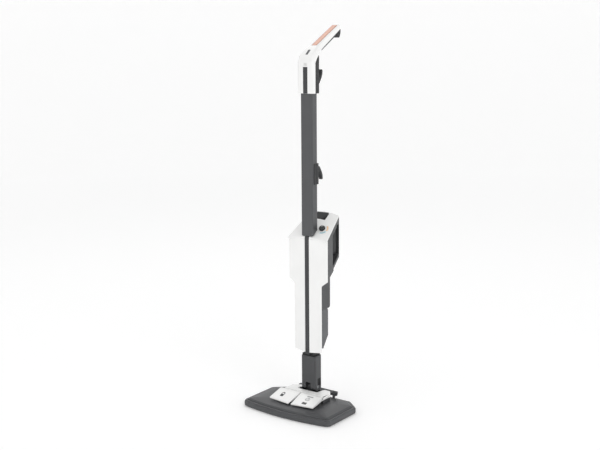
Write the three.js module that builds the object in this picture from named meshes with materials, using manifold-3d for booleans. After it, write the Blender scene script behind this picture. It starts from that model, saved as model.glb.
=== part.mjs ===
// Upright steam mop: floor head, jointed neck, square tube with cable hooks, bent grip handle,
// and a portable steam unit that slides off the spine. Millimetres, +Z up, front towards -Y,
// origin on the floor under the axis of the tube.
import * as THREE from 'three';
import { mergeVertices } from 'three/addons/utils/BufferGeometryUtils.js';
import Module from 'manifold-3d';

const wasm = await Module();
wasm.setup();

// ---------------------------------------------------------------- driving dimensions
const GAP = 0.3; // air between neighbouring pieces
const RUN = 0.3; // radial clearance of a turning pair
const HEAD = {
  width: 320, front: -148.4, cornerSetback: 18, sideEnd: 12.5, rearSpace: 22.6, rearWidth: 235.6,
  cornerRadius: 14, rim: 20, rimWidth: 9, wall: 3, deckRise: 8, soleThickness: 5, soleInset: 5.6,
};
const SWIVEL = { aboveDeck: 12, pinRadius: 3.5, barrelRadius: 8, earThickness: 3, earWidth: 14 };
const NECK = { width: 50, setback: 1, depth: 35.6, rise: 99, sealHeight: 6, legWidth: 16, legDrop: 11 };
const TILT = { aboveSwivel: 18, pinRadius: 4.7, knuckleRadius: 12 };
const PEDAL = {
  outer: 81, rearOuter: 78, length: 61, setback: 8, neckSpace: 33.8, pinAboveDeck: 18, pinRadius: 2.5,
  frontAboveDeck: 6.5, frontThickness: 3.6, barrel: 5.6, springAt: 38, springLength: 12, crown: 6,
};
const COVER = {
  width: 152, rearWidth: 108, aboveSwivel: 11, rearAboveDeck: 16, neckSpace: 4.6, slotSpace: 6, wall: 3,
};
const REAR_PEDAL = {
  width: 146, neckSpace: 6.6, depth: 20, aboveDeck: 2, height: 12, pinUp: 5, pinRadius: 2.2, span: 118,
};
const SPINE = { width: 14.4, proud: 2.2, depthShare: 0.64, boreRadius: 2.8, pipeRadius: 2.4 };
const TUBE = { width: 41.6, depth: 26.4, wall: 2, length: 421, chamfer: 2.4, insertion: 30 };
const UNIT = {
  width: 141.3, lowerWidth: 97.6, height: 351, shoulder: 225, shoulderRun: 16, slope: 0.72, crown: 8,
  cornerSetback: 6.2, shellThickness: 4.2, taper: 0.19, casingRear: 36, loopRear: 76,
  loopBar: 9.5, loopFront: 30.5, loopFloor: 11, topThickness: 4.5, wall: 3, lowerCasing: 137,
};
const TANK = { rear: 27, bottomRise: 18, wall: 2.5, capRadius: 14 };
const BUTTON = { width: 42, from: 50, to: 71, thickness: 5, proud: 2.5, travel: 3 };
const KNOB = { fromTube: 12.2, y: 20, radius: 9.5, height: 9, shaftRadius: 3, shaftLength: 16 };
const RECEIVER = { above: 175, radius: 5, length: 8, nozzleRadius: 4, nozzleLength: 11 };
const HANDLE = {
  width: 60, rearWidth: 56, frontWall: 3.8, splitDepth: 5.3, rearWall: 2.8, collar: 92, bevel: 7, wall: 3,
  gripWidth: 30, gripEndWidth: 27, gripRun: 145, gripAngle: 28.7, stripWidth: 15, stripHeight: 76,
};
const TRIGGER = { width: 20.4, depth: 8, from: 47, to: 126, pinY: 122, pinRadius: 1.8 };
const INLAY = { width: 19, from: 27, to: 133, thickness: 2, recess: 1.6 };
const HOOK = { width: 10, reach: 46, height: 46, thickness: 6, baseRadius: 10 };
const CLAMP = { height: 62, aboveUnit: 162, wall: 2.6, frontGrip: 6.7, rearWall: 3.8 };
const ROD = { radius: 3, behindSpine: 4.5 };
const SCREW = { radius: 2.6, length: 8 };

// ---------------------------------------------------------------- heights and places that follow
const deckZ = HEAD.rim + HEAD.deckRise;
const swivelZ = deckZ + SWIVEL.aboveDeck;
const tiltZ = swivelZ + TILT.aboveSwivel;
const tubeFront = -TUBE.depth / 2;
const tubeRear = TUBE.depth / 2;
const neckFront = tubeFront + NECK.setback;
const neckRear = neckFront + NECK.depth;
const headRear = neckRear + HEAD.rearSpace;
const tiltY = neckFront + NECK.depth / 2;
const neckTop = tiltZ + NECK.rise;
const bracketFront = neckFront - 1.2 - SWIVEL.earThickness;
const bracketRear = neckRear + 1.2 + SWIVEL.earThickness;
const pedalPinY = neckFront - PEDAL.neckSpace;
const pedalPinZ = deckZ + PEDAL.pinAboveDeck;
const pedalFront = pedalPinY - PEDAL.length;
const pedalFrontTop = deckZ + PEDAL.frontAboveDeck;
const coverTop = swivelZ + COVER.aboveSwivel;
const coverRearTop = deckZ + COVER.rearAboveDeck;
const coverRear = neckRear + COVER.neckSpace;
const rearPedalFront = neckRear + REAR_PEDAL.neckSpace;
const rearPedalRear = rearPedalFront + REAR_PEDAL.depth;
const rearPedalBottom = deckZ + REAR_PEDAL.aboveDeck;
const rearPedalTop = rearPedalBottom + REAR_PEDAL.height;
const rearPinY = rearPedalFront + REAR_PEDAL.pinUp;
const rearPinZ = rearPedalBottom + REAR_PEDAL.pinUp;
const sealTop = neckTop + GAP + NECK.sealHeight;
const unitBottom = sealTop + 7;
const unitTop = unitBottom + UNIT.height;
const shoulderZ = unitBottom + UNIT.shoulder;
const casingBottom = unitBottom + UNIT.lowerCasing;
const tubeBottom = unitTop + UNIT.crown + 1.5;
const socketZ = tubeBottom + TUBE.length - 2;
const tubeTop = socketZ + TUBE.insertion;
const bendZ = socketZ + HANDLE.collar;
const receiverZ = unitBottom + RECEIVER.above;
const slopeAngle = Math.atan(UNIT.slope);
const spineFront = tubeFront - SPINE.proud;
const spineRear = spineFront + SPINE.depthShare * TUBE.depth;
const rodY = spineRear + ROD.behindSpine;
const unitCorner = spineFront + UNIT.cornerSetback;
const handleFront = tubeFront - HANDLE.frontWall;
const handleSplit = tubeFront + HANDLE.splitDepth;
const handleRear = tubeRear + HANDLE.rearWall;
const clampFront = tubeFront + CLAMP.frontGrip;
const clampRear = tubeRear + CLAMP.rearWall;
const pipeY = spineRear - 5.5;
const knobX = TUBE.width / 2 + KNOB.fromTube;
const plugFront = pipeY - 3.2;
const channel = SPINE.width / 2 + 0.6;
const latchZ = unitTop - 18;

// ---------------------------------------------------------------- finishes
const finish = (color, roughness, metalness = 0) =>
  new THREE.MeshStandardMaterial({ color, roughness, metalness });
const charcoal = finish(0x57585a, 0.45);
const darkGrey = finish(0x454648, 0.5);
const black = finish(0x1d1d1f, 0.5);
const white = finish(0xf2f2f0, 0.28);
const pale = finish(0xe9e9e6, 0.4);
const copper = finish(0xb0765c, 0.3, 0.9);
const steel = finish(0xb9bbbd, 0.3, 1);
const tubeGrey = finish(0x5f6062, 0.35, 0.6);
const rubber = finish(0x18181a, 0.8);
const smoke = finish(0x4b4d50, 0.15);
const glass = finish(0x0b0c0d, 0.08);
const brass = finish(0xb08d4a, 0.35, 1);
const green = finish(0x1f5a3a, 0.6);

// ---------------------------------------------------------------- solid helpers
function toSolid(shape) {
  if (!(shape instanceof THREE.BufferGeometry)) return shape;
  const bare = shape.clone();
  bare.deleteAttribute('normal');
  bare.deleteAttribute('uv');
  const merged = mergeVertices(bare, 1e-4);
  const vertProperties = new Float32Array(merged.attributes.position.array);
  const triVerts = new Uint32Array(merged.index.array);
  return new wasm.Manifold(new wasm.Mesh({ numProp: 3, vertProperties, triVerts }));
}

function toGeometry(solid) {
  if (solid instanceof THREE.BufferGeometry) return solid;
  const mesh = solid.getMesh();
  const geometry = new THREE.BufferGeometry();
  geometry.setAttribute('position', new THREE.BufferAttribute(new Float32Array(mesh.vertProperties), 3));
  geometry.setIndex(new THREE.BufferAttribute(new Uint32Array(mesh.triVerts), 1));
  geometry.computeVertexNormals();
  return geometry;
}

const join = (first, ...rest) => rest.reduce((sum, next) => sum.add(toSolid(next)), toSolid(first));
const cut = (first, ...rest) => rest.reduce((left, next) => left.subtract(toSolid(next)), toSolid(first));
const meet = (first, ...rest) => rest.reduce((left, next) => left.intersect(toSolid(next)), toSolid(first));

const frameOf = {
  X: new THREE.Matrix4().makeBasis(
    new THREE.Vector3(0, 1, 0), new THREE.Vector3(0, 0, 1), new THREE.Vector3(1, 0, 0)),
  Y: new THREE.Matrix4().makeBasis(
    new THREE.Vector3(1, 0, 0), new THREE.Vector3(0, 0, 1), new THREE.Vector3(0, -1, 0)),
  Z: new THREE.Matrix4(),
};

// A straight prism: the outline lies across the axis, in (Y,Z), (X,Z) or (X,Y).
function prism(axis, outline, from, to) {
  const shape = new THREE.Shape(outline.map(([u, v]) => new THREE.Vector2(u, v)));
  const body = new THREE.ExtrudeGeometry(shape, { depth: to - from, bevelEnabled: false });
  body.translate(0, 0, axis === 'Y' ? -to : from);
  return body.applyMatrix4(frameOf[axis]);
}

function box(x0, x1, y0, y1, z0, z1) {
  const body = new THREE.BoxGeometry(x1 - x0, y1 - y0, z1 - z0);
  return body.translate((x0 + x1) / 2, (y0 + y1) / 2, (z0 + z1) / 2);
}

const slab = (halfX, y0, y1, z0, z1) => box(-halfX, halfX, y0, y1, z0, z1);

// A round bar along an axis; centre gives the other two coordinates in axis order.
function bar(axis, radius, from, to, centre, sides = 16) {
  const ring = [];
  for (let i = 0; i < sides; i += 1) {
    const angle = (2 * Math.PI * (i + 0.5)) / sides;
    ring.push([centre[0] + radius * Math.cos(angle), centre[1] + radius * Math.sin(angle)]);
  }
  return prism(axis, ring, from, to);
}

function sleeve(axis, outer, inner, from, to, centre, sides = 16) {
  return cut(bar(axis, outer, from, to, centre, sides), bar(axis, inner, from - 1, to + 1, centre, sides));
}

function rectangle(halfX, y0, y1, chamfer) {
  return [
    [-halfX + chamfer, y0], [halfX - chamfer, y0], [halfX, y0 + chamfer], [halfX, y1 - chamfer],
    [halfX - chamfer, y1], [-halfX + chamfer, y1], [-halfX, y1 - chamfer], [-halfX, y0 + chamfer],
  ];
}

// Skins a row of closed loops that all have the same number of points, and caps both ends.
function loft(loops) {
  const count = loops[0].length;
  const points = loops.flat();
  const faces = [];
  for (let k = 0; k + 1 < loops.length; k += 1) {
    for (let i = 0; i < count; i += 1) {
      const a = k * count + i;
      const b = k * count + ((i + 1) % count);
      faces.push([a, b, b + count], [a, b + count, a + count]);
    }
  }
  const last = (loops.length - 1) * count;
  for (let i = 1; i + 1 < count; i += 1) {
    faces.push([0, i + 1, i], [last, last + i, last + i + 1]);
  }
  let volume = 0;
  for (const [a, b, c] of faces) volume += points[a].dot(points[b].clone().cross(points[c]));
  const order = volume > 0 ? faces : faces.map(([a, b, c]) => [a, c, b]);
  const geometry = new THREE.BufferGeometry().setFromPoints(points);
  geometry.setIndex(order.flat());
  return geometry;
}

// Rounds each corner of a polygon that has a radius; the others stay sharp.
function roundCorners(corners, steps = 4) {
  const out = [];
  corners.forEach(([x, y, radius = 0], i) => {
    const here = new THREE.Vector2(x, y);
    if (radius <= 0) {
      out.push([x, y]);
      return;
    }
    const before = corners[(i + corners.length - 1) % corners.length];
    const after = corners[(i + 1) % corners.length];
    const inward = new THREE.Vector2(before[0] - x, before[1] - y).normalize();
    const onward = new THREE.Vector2(after[0] - x, after[1] - y).normalize();
    const half = Math.acos(inward.dot(onward)) / 2;
    const reach = radius / Math.tan(half);
    const start = here.clone().addScaledVector(inward, reach);
    const end = here.clone().addScaledVector(onward, reach);
    const curve = new THREE.QuadraticBezierCurve(start, here, end);
    curve.getPoints(steps).forEach((p) => out.push([p.x, p.y]));
  });
  return out;
}

// ---------------------------------------------------------------- the assembly
const mop = new THREE.Group();
mop.name = 'steam_mop';

function add(name, shape, material) {
  const mesh = new THREE.Mesh(toGeometry(shape), material);
  mesh.name = name;
  mop.add(mesh);
  return mesh;
}

// ---------------------------------------------------------------- floor head
// The head's outline moved inwards: a bowed front edge, straight sides, cut-off rear corners.
function headOutline(inset) {
  const half = HEAD.width / 2;
  const radius = (half * half + HEAD.cornerSetback ** 2) / (2 * HEAD.cornerSetback);
  const centreY = HEAD.front + radius;
  const turn = Math.atan2(half - HEAD.rearWidth / 2, headRear - HEAD.sideEnd);
  const side = half - inset;
  const reach = radius - inset;
  const endAngle = Math.asin(side / reach);
  const corner = Math.max(HEAD.cornerRadius - inset * 0.6, 3);
  const corners = [];
  const steps = 8;
  for (let i = 0; i <= steps; i += 1) {
    const angle = endAngle * ((2 * i) / steps - 1);
    const end = i === 0 || i === steps;
    corners.push([reach * Math.sin(angle), centreY - reach * Math.cos(angle), end ? corner : 0]);
  }
  const sideEnd = HEAD.sideEnd - inset * Math.tan(turn / 2);
  const rearEnd = HEAD.rearWidth / 2 - inset * Math.tan((Math.PI / 2 - turn) / 2);
  corners.push([side, sideEnd, corner], [rearEnd, headRear - inset, corner]);
  corners.push([-rearEnd, headRear - inset, corner], [-side, sideEnd, corner]);
  return roundCorners(corners);
}

const headLoop = (inset, z) => headOutline(inset).map(([x, y]) => new THREE.Vector3(x, y, z));
const cavityInset = HEAD.rimWidth;
const baseFloor = HEAD.soleThickness + GAP;
const screwSpots = [[-1, -1], [1, -1], [-1, 1], [1, 1]].map(([sx, sy]) => [
  sx * HEAD.width * 0.34, (HEAD.front + headRear) / 2 + sy * (headRear - HEAD.front) * 0.24 - 6,
]);

function solePlate() {
  const plate = prism('Z', headOutline(HEAD.soleInset + 0.4), 0, HEAD.soleThickness);
  const slots = [];
  for (let i = -3; i <= 3; i += 1) {
    const x = (i * HEAD.width) / 10;
    slots.push(box(x - 6, x + 6, HEAD.front * 0.56, HEAD.front * 0.56 + 5, -1, HEAD.soleThickness + 1));
  }
  const wells = screwSpots.map((spot) => bar('Z', SCREW.radius + 1.6, -1, 2.6, spot, 12));
  const holes = screwSpots.map((spot) => bar('Z', SCREW.radius * 0.6 + GAP, -1, 9, spot, 12));
  return cut(plate, ...slots, ...wells, ...holes);
}

function headBase() {
  const shell = loft([
    headLoop(3, 1.2), headLoop(0.4, 4), headLoop(0, 9), headLoop(0.4, HEAD.rim - 4), headLoop(3, HEAD.rim),
  ]);
  const tray = prism('Z', headOutline(cavityInset), baseFloor + HEAD.wall, HEAD.rim + 5);
  const soleRecess = prism('Z', headOutline(HEAD.soleInset), -1, baseFloor);
  const outlet = box(-60, 60, HEAD.front * 0.6, HEAD.front * 0.5, 0, 12);
  const holes = screwSpots.map((spot) => bar('Z', SCREW.radius * 0.6 + GAP, 4, 12, spot, 12));
  return cut(shell, tray, soleRecess, outlet, ...holes);
}

function headTop() {
  const edge = cavityInset + 0.4;
  const outer = loft([
    headLoop(edge, HEAD.rim - 6), headLoop(edge, HEAD.rim + 0.6), headLoop(edge + 6, deckZ - 3.5),
    headLoop(edge + 25, deckZ - 1), headLoop(edge + 46, deckZ),
  ]);
  const inner = loft([
    headLoop(edge + HEAD.wall, HEAD.rim - 7), headLoop(edge + HEAD.wall, HEAD.rim - 2.2),
    headLoop(edge + 9, deckZ - 6.4), headLoop(edge + 26, deckZ - 4), headLoop(edge + 47, deckZ - 3),
  ]);
  const post = (side) => {
    const x = side * (REAR_PEDAL.span / 2 + 4);
    const upright = box(x - 2.6, x + 2.6, rearPinY - 4, rearPinY + 4, deckZ - 5, rearPinZ + 4);
    return cut(upright, bar('X', REAR_PEDAL.pinRadius + RUN, x - 5, x + 5, [rearPinY, rearPinZ], 12));
  };
  return join(cut(outer, inner), post(-1), post(1));
}

function centreCover() {
  const half = COVER.width / 2;
  const rearHalf = COVER.rearWidth / 2;
  const front = pedalPinY + PEDAL.barrel + 1;
  const base = deckZ + GAP;
  const plan = [[-half, front], [half, front], [half - 2, 0], [rearHalf, coverRear],
    [-rearHalf, coverRear], [-half + 2, 0]];
  const insidePlan = plan.map(([x, y]) => [
    x - Math.sign(x) * COVER.wall, y === front ? y + COVER.wall : Math.min(y, coverRear - COVER.wall),
  ]);
  const profile = (drop) => [
    [front - 1, base - 1], [coverRear + 1, base - 1], [coverRear + 1, coverRearTop - drop],
    [0, coverTop - 1 - drop], [front - 1, coverTop - drop]];
  const outer = meet(prism('Z', plan, base, coverTop + 1), prism('X', profile(0), -half - 1, half + 1));
  const inner = meet(prism('Z', insidePlan, base - 1, coverTop),
    prism('X', profile(COVER.wall), -half, half));
  const low = NECK.width / 2 + COVER.slotSpace;
  const notch = prism('Y', [[-low, 0], [low, 0], [low, base + 12], [low + 8, coverTop + 2],
    [-low - 8, coverTop + 2], [-low, base + 12]], neckFront - 5, coverRear + 9);
  const chamfer = prism('Y', [[half - 9, coverTop + 1], [half + 9, coverTop + 1], [half + 9, coverTop - 17]],
    front - 9, coverRear + 9);
  const mirrored = prism('Y', [[-half - 9, coverTop - 17], [-half - 9, coverTop + 1],
    [-half + 9, coverTop + 1]], front - 9, coverRear + 9);
  const skirts = [-1, 1].map((side) => {
    const end = [[half - 15, base - 1], [half + 9, base - 1], [half + 9, base + 19]]
      .map(([x, z]) => [x * side, z]);
    if (side < 0) end.reverse();
    return prism('Y', end, front - 9, coverRear + 9);
  });
  return cut(outer, inner, notch, chamfer, mirrored, ...skirts);
}

// One foot pedal: a sloping plate on a barrel that turns about the pedal pin.
function footPedal(side) {
  const inner = 2;
  const rearY = pedalPinY;
  const plan = [[inner, pedalFront], [PEDAL.outer, pedalFront + PEDAL.setback], [PEDAL.rearOuter, rearY],
    [inner, rearY]].map(([x, y]) => [x * side, y]);
  if (side < 0) plan.reverse();
  const top = pedalPinZ + PEDAL.barrel;
  const under = pedalFrontTop - PEDAL.frontThickness;
  const profile = [[pedalFront - 1, under], [rearY - 12, under + 8], [rearY, pedalPinZ], [rearY, top],
    [rearY - PEDAL.crown, top], [pedalFront - 1, pedalFrontTop - 0.4]];
  const plate = meet(prism('Z', plan, 0, 90), prism('X', profile, -PEDAL.outer - 5, PEDAL.outer + 5));
  const from = side > 0 ? inner : -PEDAL.rearOuter;
  const to = side > 0 ? PEDAL.rearOuter : -inner;
  const centre = [pedalPinY, pedalPinZ];
  const barrel = bar('X', PEDAL.barrel, from, to, centre, 16);
  const bore = bar('X', PEDAL.pinRadius + RUN, from - 9, to + 9, centre, 12);
  const springFrom = side * PEDAL.springAt - PEDAL.springLength / 2 - GAP;
  const springTo = side * PEDAL.springAt + PEDAL.springLength / 2 + GAP;
  const springRoom = bar('X', PEDAL.barrel - 0.6, springFrom, springTo, centre, 16);
  const slot = box(springFrom, springTo, rearY - 4, rearY + 9, pedalPinZ - 9, pedalPinZ - 1);
  const body = cut(join(plate, barrel), bore, springRoom, slot);
  if (side < 0) return body;
  return cut(body, modeWindow(GAP));
}

// The dark window near the front of the right pedal, grown by a clearance for its pocket.
function modeWindow(grow) {
  const slope = Math.atan2(pedalPinZ + PEDAL.barrel - pedalFrontTop, pedalPinY - PEDAL.crown - pedalFront);
  const plate = new THREE.BoxGeometry(15 + 2 * grow, 9 + 2 * grow, 2 + 2 * grow);
  plate.rotateX(slope);
  const y = pedalFront + 16;
  return plate.translate(PEDAL.outer * 0.53, y, pedalFrontTop + 15.6 * Math.tan(slope) - 0.6);
}

function pedalSpring(side) {
  const from = side * PEDAL.springAt - PEDAL.springLength / 2;
  return sleeve('X', PEDAL.barrel - 0.9, PEDAL.pinRadius + RUN, from, from + PEDAL.springLength,
    [pedalPinY, pedalPinZ]);
}

function rearPedal() {
  const half = REAR_PEDAL.width / 2;
  const plan = [[-half + 8, rearPedalFront], [half - 8, rearPedalFront], [half, rearPedalFront + 8],
    [half - 5, rearPedalRear], [-half + 5, rearPedalRear], [-half, rearPedalFront + 8]];
  const profile = [[rearPedalFront - 1, rearPedalBottom + 4], [rearPedalFront + 4, rearPedalBottom],
    [rearPedalRear + 1, rearPedalBottom + 2], [rearPedalRear + 1, rearPedalTop - 4],
    [rearPedalRear - 5, rearPedalTop], [rearPedalFront - 1, rearPedalTop - 3]];
  const body = meet(prism('Z', plan, 0, 99), prism('X', profile, -half - 1, half + 1));
  const bore = bar('X', REAR_PEDAL.pinRadius + RUN, -half, half, [rearPinY, rearPinZ], 12);
  const room = [-1, 1].map((side) => {
    const x = side * (REAR_PEDAL.span / 2 + 4);
    return box(x - 3.4, x + 3.4, rearPedalFront - 1, rearPinY + 5.5, 0, rearPinZ + 5.4);
  });
  return cut(body, bore, ...room);
}

function swivelBracket() {
  const base = deckZ + GAP;
  const half = SWIVEL.earWidth / 2;
  const ear = (y) => cut(
    join(box(-half, half, y, y + SWIVEL.earThickness, base, swivelZ),
      bar('Y', half, y, y + SWIVEL.earThickness, [0, swivelZ - 2])),
    bar('Y', SWIVEL.pinRadius + RUN, y - 1, y + SWIVEL.earThickness + 1, [0, swivelZ]));
  const foot = box(-half - 1, half + 1, bracketFront, bracketRear, base, base + 3.2);
  return join(foot, ear(bracketFront), ear(bracketRear - SWIVEL.earThickness));
}

function swivelPin() {
  return sleeve('Y', SWIVEL.pinRadius, 1.8, bracketFront - 1, bracketRear + 1, [0, swivelZ]);
}

function steamManifold() {
  const y = HEAD.front * 0.55;
  const block = box(-56, 56, y - 7, y + 7, baseFloor + HEAD.wall + GAP, deckZ - 4.5);
  const duct = box(-50, 50, y - 4, y + 4, baseFloor, deckZ - 7);
  return cut(block, duct);
}

function manifoldHose() {
  const z = (baseFloor + HEAD.wall + deckZ - 4) / 2;
  return sleeve('Y', 4, 2.4, HEAD.front * 0.55 + 7 + GAP, neckFront, [0, z], 12);
}

function soleScrew() {
  const head = bar('Z', SCREW.radius, 0.6, 2.3, [0, 0], 12);
  return join(head, bar('Z', SCREW.radius * 0.6, 1, SCREW.length, [0, 0], 12));
}

function buildHead() {
  add('sole_plate', solePlate(), darkGrey);
  add('head_base', headBase(), charcoal);
  add('head_top', headTop(), charcoal);
  add('centre_cover', centreCover(), white);
  add('steam_manifold', steamManifold(), black);
  add('manifold_hose', manifoldHose(), rubber);
  add('swivel_bracket', swivelBracket(), black);
  add('swivel_pin', swivelPin(), steel);
  add('left_pedal', footPedal(-1), white);
  add('right_pedal', footPedal(1), white);
  add('mode_window', modeWindow(0), glass);
  add('pedal_pin', bar('X', PEDAL.pinRadius, -PEDAL.rearOuter, PEDAL.rearOuter,
    [pedalPinY, pedalPinZ], 12), steel);
  add('left_pedal_spring', pedalSpring(-1), steel);
  add('right_pedal_spring', pedalSpring(1), steel);
  add('rear_pedal', rearPedal(), darkGrey);
  const rearPinHalf = REAR_PEDAL.span / 2 + 7;
  add('rear_pedal_pin', bar('X', REAR_PEDAL.pinRadius, -rearPinHalf, rearPinHalf,
    [rearPinY, rearPinZ], 12), steel);
  screwSpots.forEach(([x, y], i) => {
    add(`sole_screw_${i + 1}`, soleScrew(), steel).position.set(x, y, 0);
  });
}

// ---------------------------------------------------------------- neck joint and neck
const legInner = NECK.width / 2 - NECK.legWidth;

function yoke() {
  const knuckleHalf = legInner - 0.8;
  const barrelFrom = neckFront - 1.2 + GAP;
  const barrelTo = neckRear + 1.2 - GAP;
  const body = join(
    bar('Y', SWIVEL.barrelRadius, barrelFrom, barrelTo, [0, swivelZ]),
    bar('X', TILT.knuckleRadius, -knuckleHalf, knuckleHalf, [tiltY, tiltZ], 20),
    slab(knuckleHalf, tiltY - TILT.knuckleRadius, tiltY + TILT.knuckleRadius, swivelZ, tiltZ));
  return cut(body,
    bar('Y', SWIVEL.pinRadius + RUN, barrelFrom - 1, barrelTo + 1, [0, swivelZ]),
    bar('X', TILT.pinRadius + RUN, -NECK.width, NECK.width, [tiltY, tiltZ]));
}

function neckHousing() {
  const half = NECK.width / 2;
  const bottom = tiltZ - NECK.legDrop;
  const reach = NECK.depth / 2;
  const profile = [[tiltY - reach + 8, bottom], [tiltY + reach - 8, bottom], [tiltY + reach, bottom + 9],
    [tiltY + reach, neckTop], [tiltY - reach, neckTop], [tiltY - reach, bottom + 9]];
  const column = meet(prism('X', profile, -half, half),
    prism('Z', rectangle(half, neckFront, neckRear, 2.4), 0, neckTop + 1));
  const fork = slab(legInner, neckFront - 1, neckRear + 1, 0, tiltZ + TILT.knuckleRadius + 3);
  const pocket = slab(half - 5, plugFront - 1, neckRear - 4, tiltZ + TILT.knuckleRadius + 9, neckTop + 1);
  const pinHole = bar('X', TILT.pinRadius + RUN, -half - 1, half + 1, [tiltY, tiltZ]);
  const window = box(half - 3.5, half + 1, tiltY - 2.6, neckRear - 2.4, tiltZ + 2, tiltZ + 27);
  const pipeWay = bar('Z', SPINE.boreRadius + 1, tiltZ + TILT.knuckleRadius, neckTop, [0, pipeY], 12);
  return cut(column, fork, pocket, pinHole, window, pipeWay);
}

function spine() {
  const half = SPINE.width / 2;
  const body = join(
    slab(half, spineFront, spineRear, sealTop + GAP, tubeBottom - 3.2),
    slab(half - 1.4, tubeFront + TUBE.wall + 2, spineRear, tubeBottom - 12, tubeBottom + 32),
    slab(half - 1.4, plugFront, spineRear, neckTop - 40, sealTop + 2));
  const bore = bar('Z', SPINE.boreRadius, neckTop - 41, receiverZ + 2, [0, pipeY], 12);
  const port = bar('Y', 2, pipeY, spineRear + 1, [0, receiverZ - 3], 8);
  const catchNotch = slab(half + 1, spineRear - 4.5, spineRear + 1, latchZ - 6, latchZ + 6);
  return cut(body, bore, port, catchNotch);
}

function neckSeal() {
  const outline = rectangle(NECK.width / 2 - 2, neckFront + 1, neckRear - 2, 2.4);
  const ring = prism('Z', outline, neckTop + GAP, sealTop);
  return cut(ring, slab(SPINE.width / 2 - 0.6, plugFront - 1, spineRear + 0.8, neckTop - 1, sealTop + 1));
}

const tubeSection = () => rectangle(TUBE.width / 2, tubeFront, tubeRear, TUBE.chamfer);

function mainTube() {
  const inner = rectangle(TUBE.width / 2 - TUBE.wall, tubeFront + TUBE.wall, tubeRear - TUBE.wall, 1.4);
  const rise = UNIT.slope * TUBE.depth;
  const foot = prism('X', [[tubeFront - 1, tubeBottom - 40], [tubeRear + 1, tubeBottom - 40],
    [tubeRear + 1, tubeBottom + rise - 2 + UNIT.slope], [tubeFront - 1, tubeBottom - 2 - UNIT.slope]],
  -TUBE.width, TUBE.width);
  return cut(prism('Z', tubeSection(), tubeBottom - 9, tubeTop), prism('Z', inner, 0, tubeTop + 1), foot);
}

// A hook that stands off a wall at y = wall; dir is 1 when its mouth opens upwards.
function hookBody(wall, z, dir, halfWidth) {
  const t = HOOK.thickness;
  const out = wall + HOOK.reach;
  const outline = [
    [wall, 0], [wall, 9], [wall + t * 0.8, t + 8], [wall + 14, t + 5], [out - t - 12, t + 12],
    [out - t - 3, HOOK.height - 16], [out - t - 1, HOOK.height - 2], [out - 3, HOOK.height],
    [out, HOOK.height - 4], [out - 1, HOOK.height - 14], [out - 5, HOOK.height - 24],
    [out - 16, 5], [wall + 11, -1]];
  const placed = outline.map(([y, h]) => [y, z + dir * h]);
  if (dir < 0) placed.reverse();
  return prism('X', placed, -halfWidth, halfWidth);
}

const clampBottom = unitTop + CLAMP.aboveUnit;
const lowerHookZ = clampBottom + CLAMP.height - 9;

function lowerCableHook() {
  const half = TUBE.width / 2 + CLAMP.wall;
  const outer = prism('Z', rectangle(half, clampFront, clampRear, 2),
    clampBottom, clampBottom + CLAMP.height);
  const room = prism('Z', rectangle(TUBE.width / 2 + GAP, tubeFront - 9, tubeRear + GAP, 2), 0, tubeTop);
  return join(cut(outer, room), hookBody(clampRear - 0.5, lowerHookZ, -1, HOOK.width / 2));
}

function buildNeck() {
  add('yoke', yoke(), black);
  const tiltPinHalf = NECK.width / 2 - 0.5;
  add('tilt_pin', sleeve('X', TILT.pinRadius, 2, -tiltPinHalf, tiltPinHalf, [tiltY, tiltZ]), steel);
  add('neck_housing', neckHousing(), charcoal);
  add('neck_seal', neckSeal(), rubber);
  add('spine', spine(), darkGrey);
  add('steam_pipe', sleeve('Z', SPINE.pipeRadius, 1.4, tiltZ + TILT.knuckleRadius + 4, receiverZ,
    [0, pipeY], 12), steel);
  add('steam_receiver', sleeve('Y', RECEIVER.radius, 2, spineRear + GAP, spineRear + GAP + RECEIVER.length,
    [0, receiverZ - 3], 12), rubber);
  add('main_tube', mainTube(), tubeGrey);
  add('lower_cable_hook', lowerCableHook(), black);
}

// ---------------------------------------------------------------- handle
const gripAngle = THREE.MathUtils.degToRad(HANDLE.gripAngle);
const gripOriginY = 8;
const gripTopZ = (y) => bendZ + 35 + (y - gripOriginY) * Math.tan(gripAngle);
const gripUnderZ = (y) => bendZ + 33 + (y - 44) * 0.596;

// One loop across the white shell: front edge, back edge, half-width and bevel.
function shellLoop({ front, back, half, bevel }) {
  const f = new THREE.Vector2(...front);
  const b = new THREE.Vector2(...back);
  const depth = f.distanceTo(b);
  const shoulder = f.clone().lerp(b, Math.min(bevel * 0.75, depth * 0.6) / depth);
  const at = (x, p) => new THREE.Vector3(x, p.x, p.y);
  return [
    at(-half, b), at(-half, shoulder), at(-half + bevel, f),
    at(half - bevel, f), at(half, shoulder), at(half, b),
  ];
}

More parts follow.
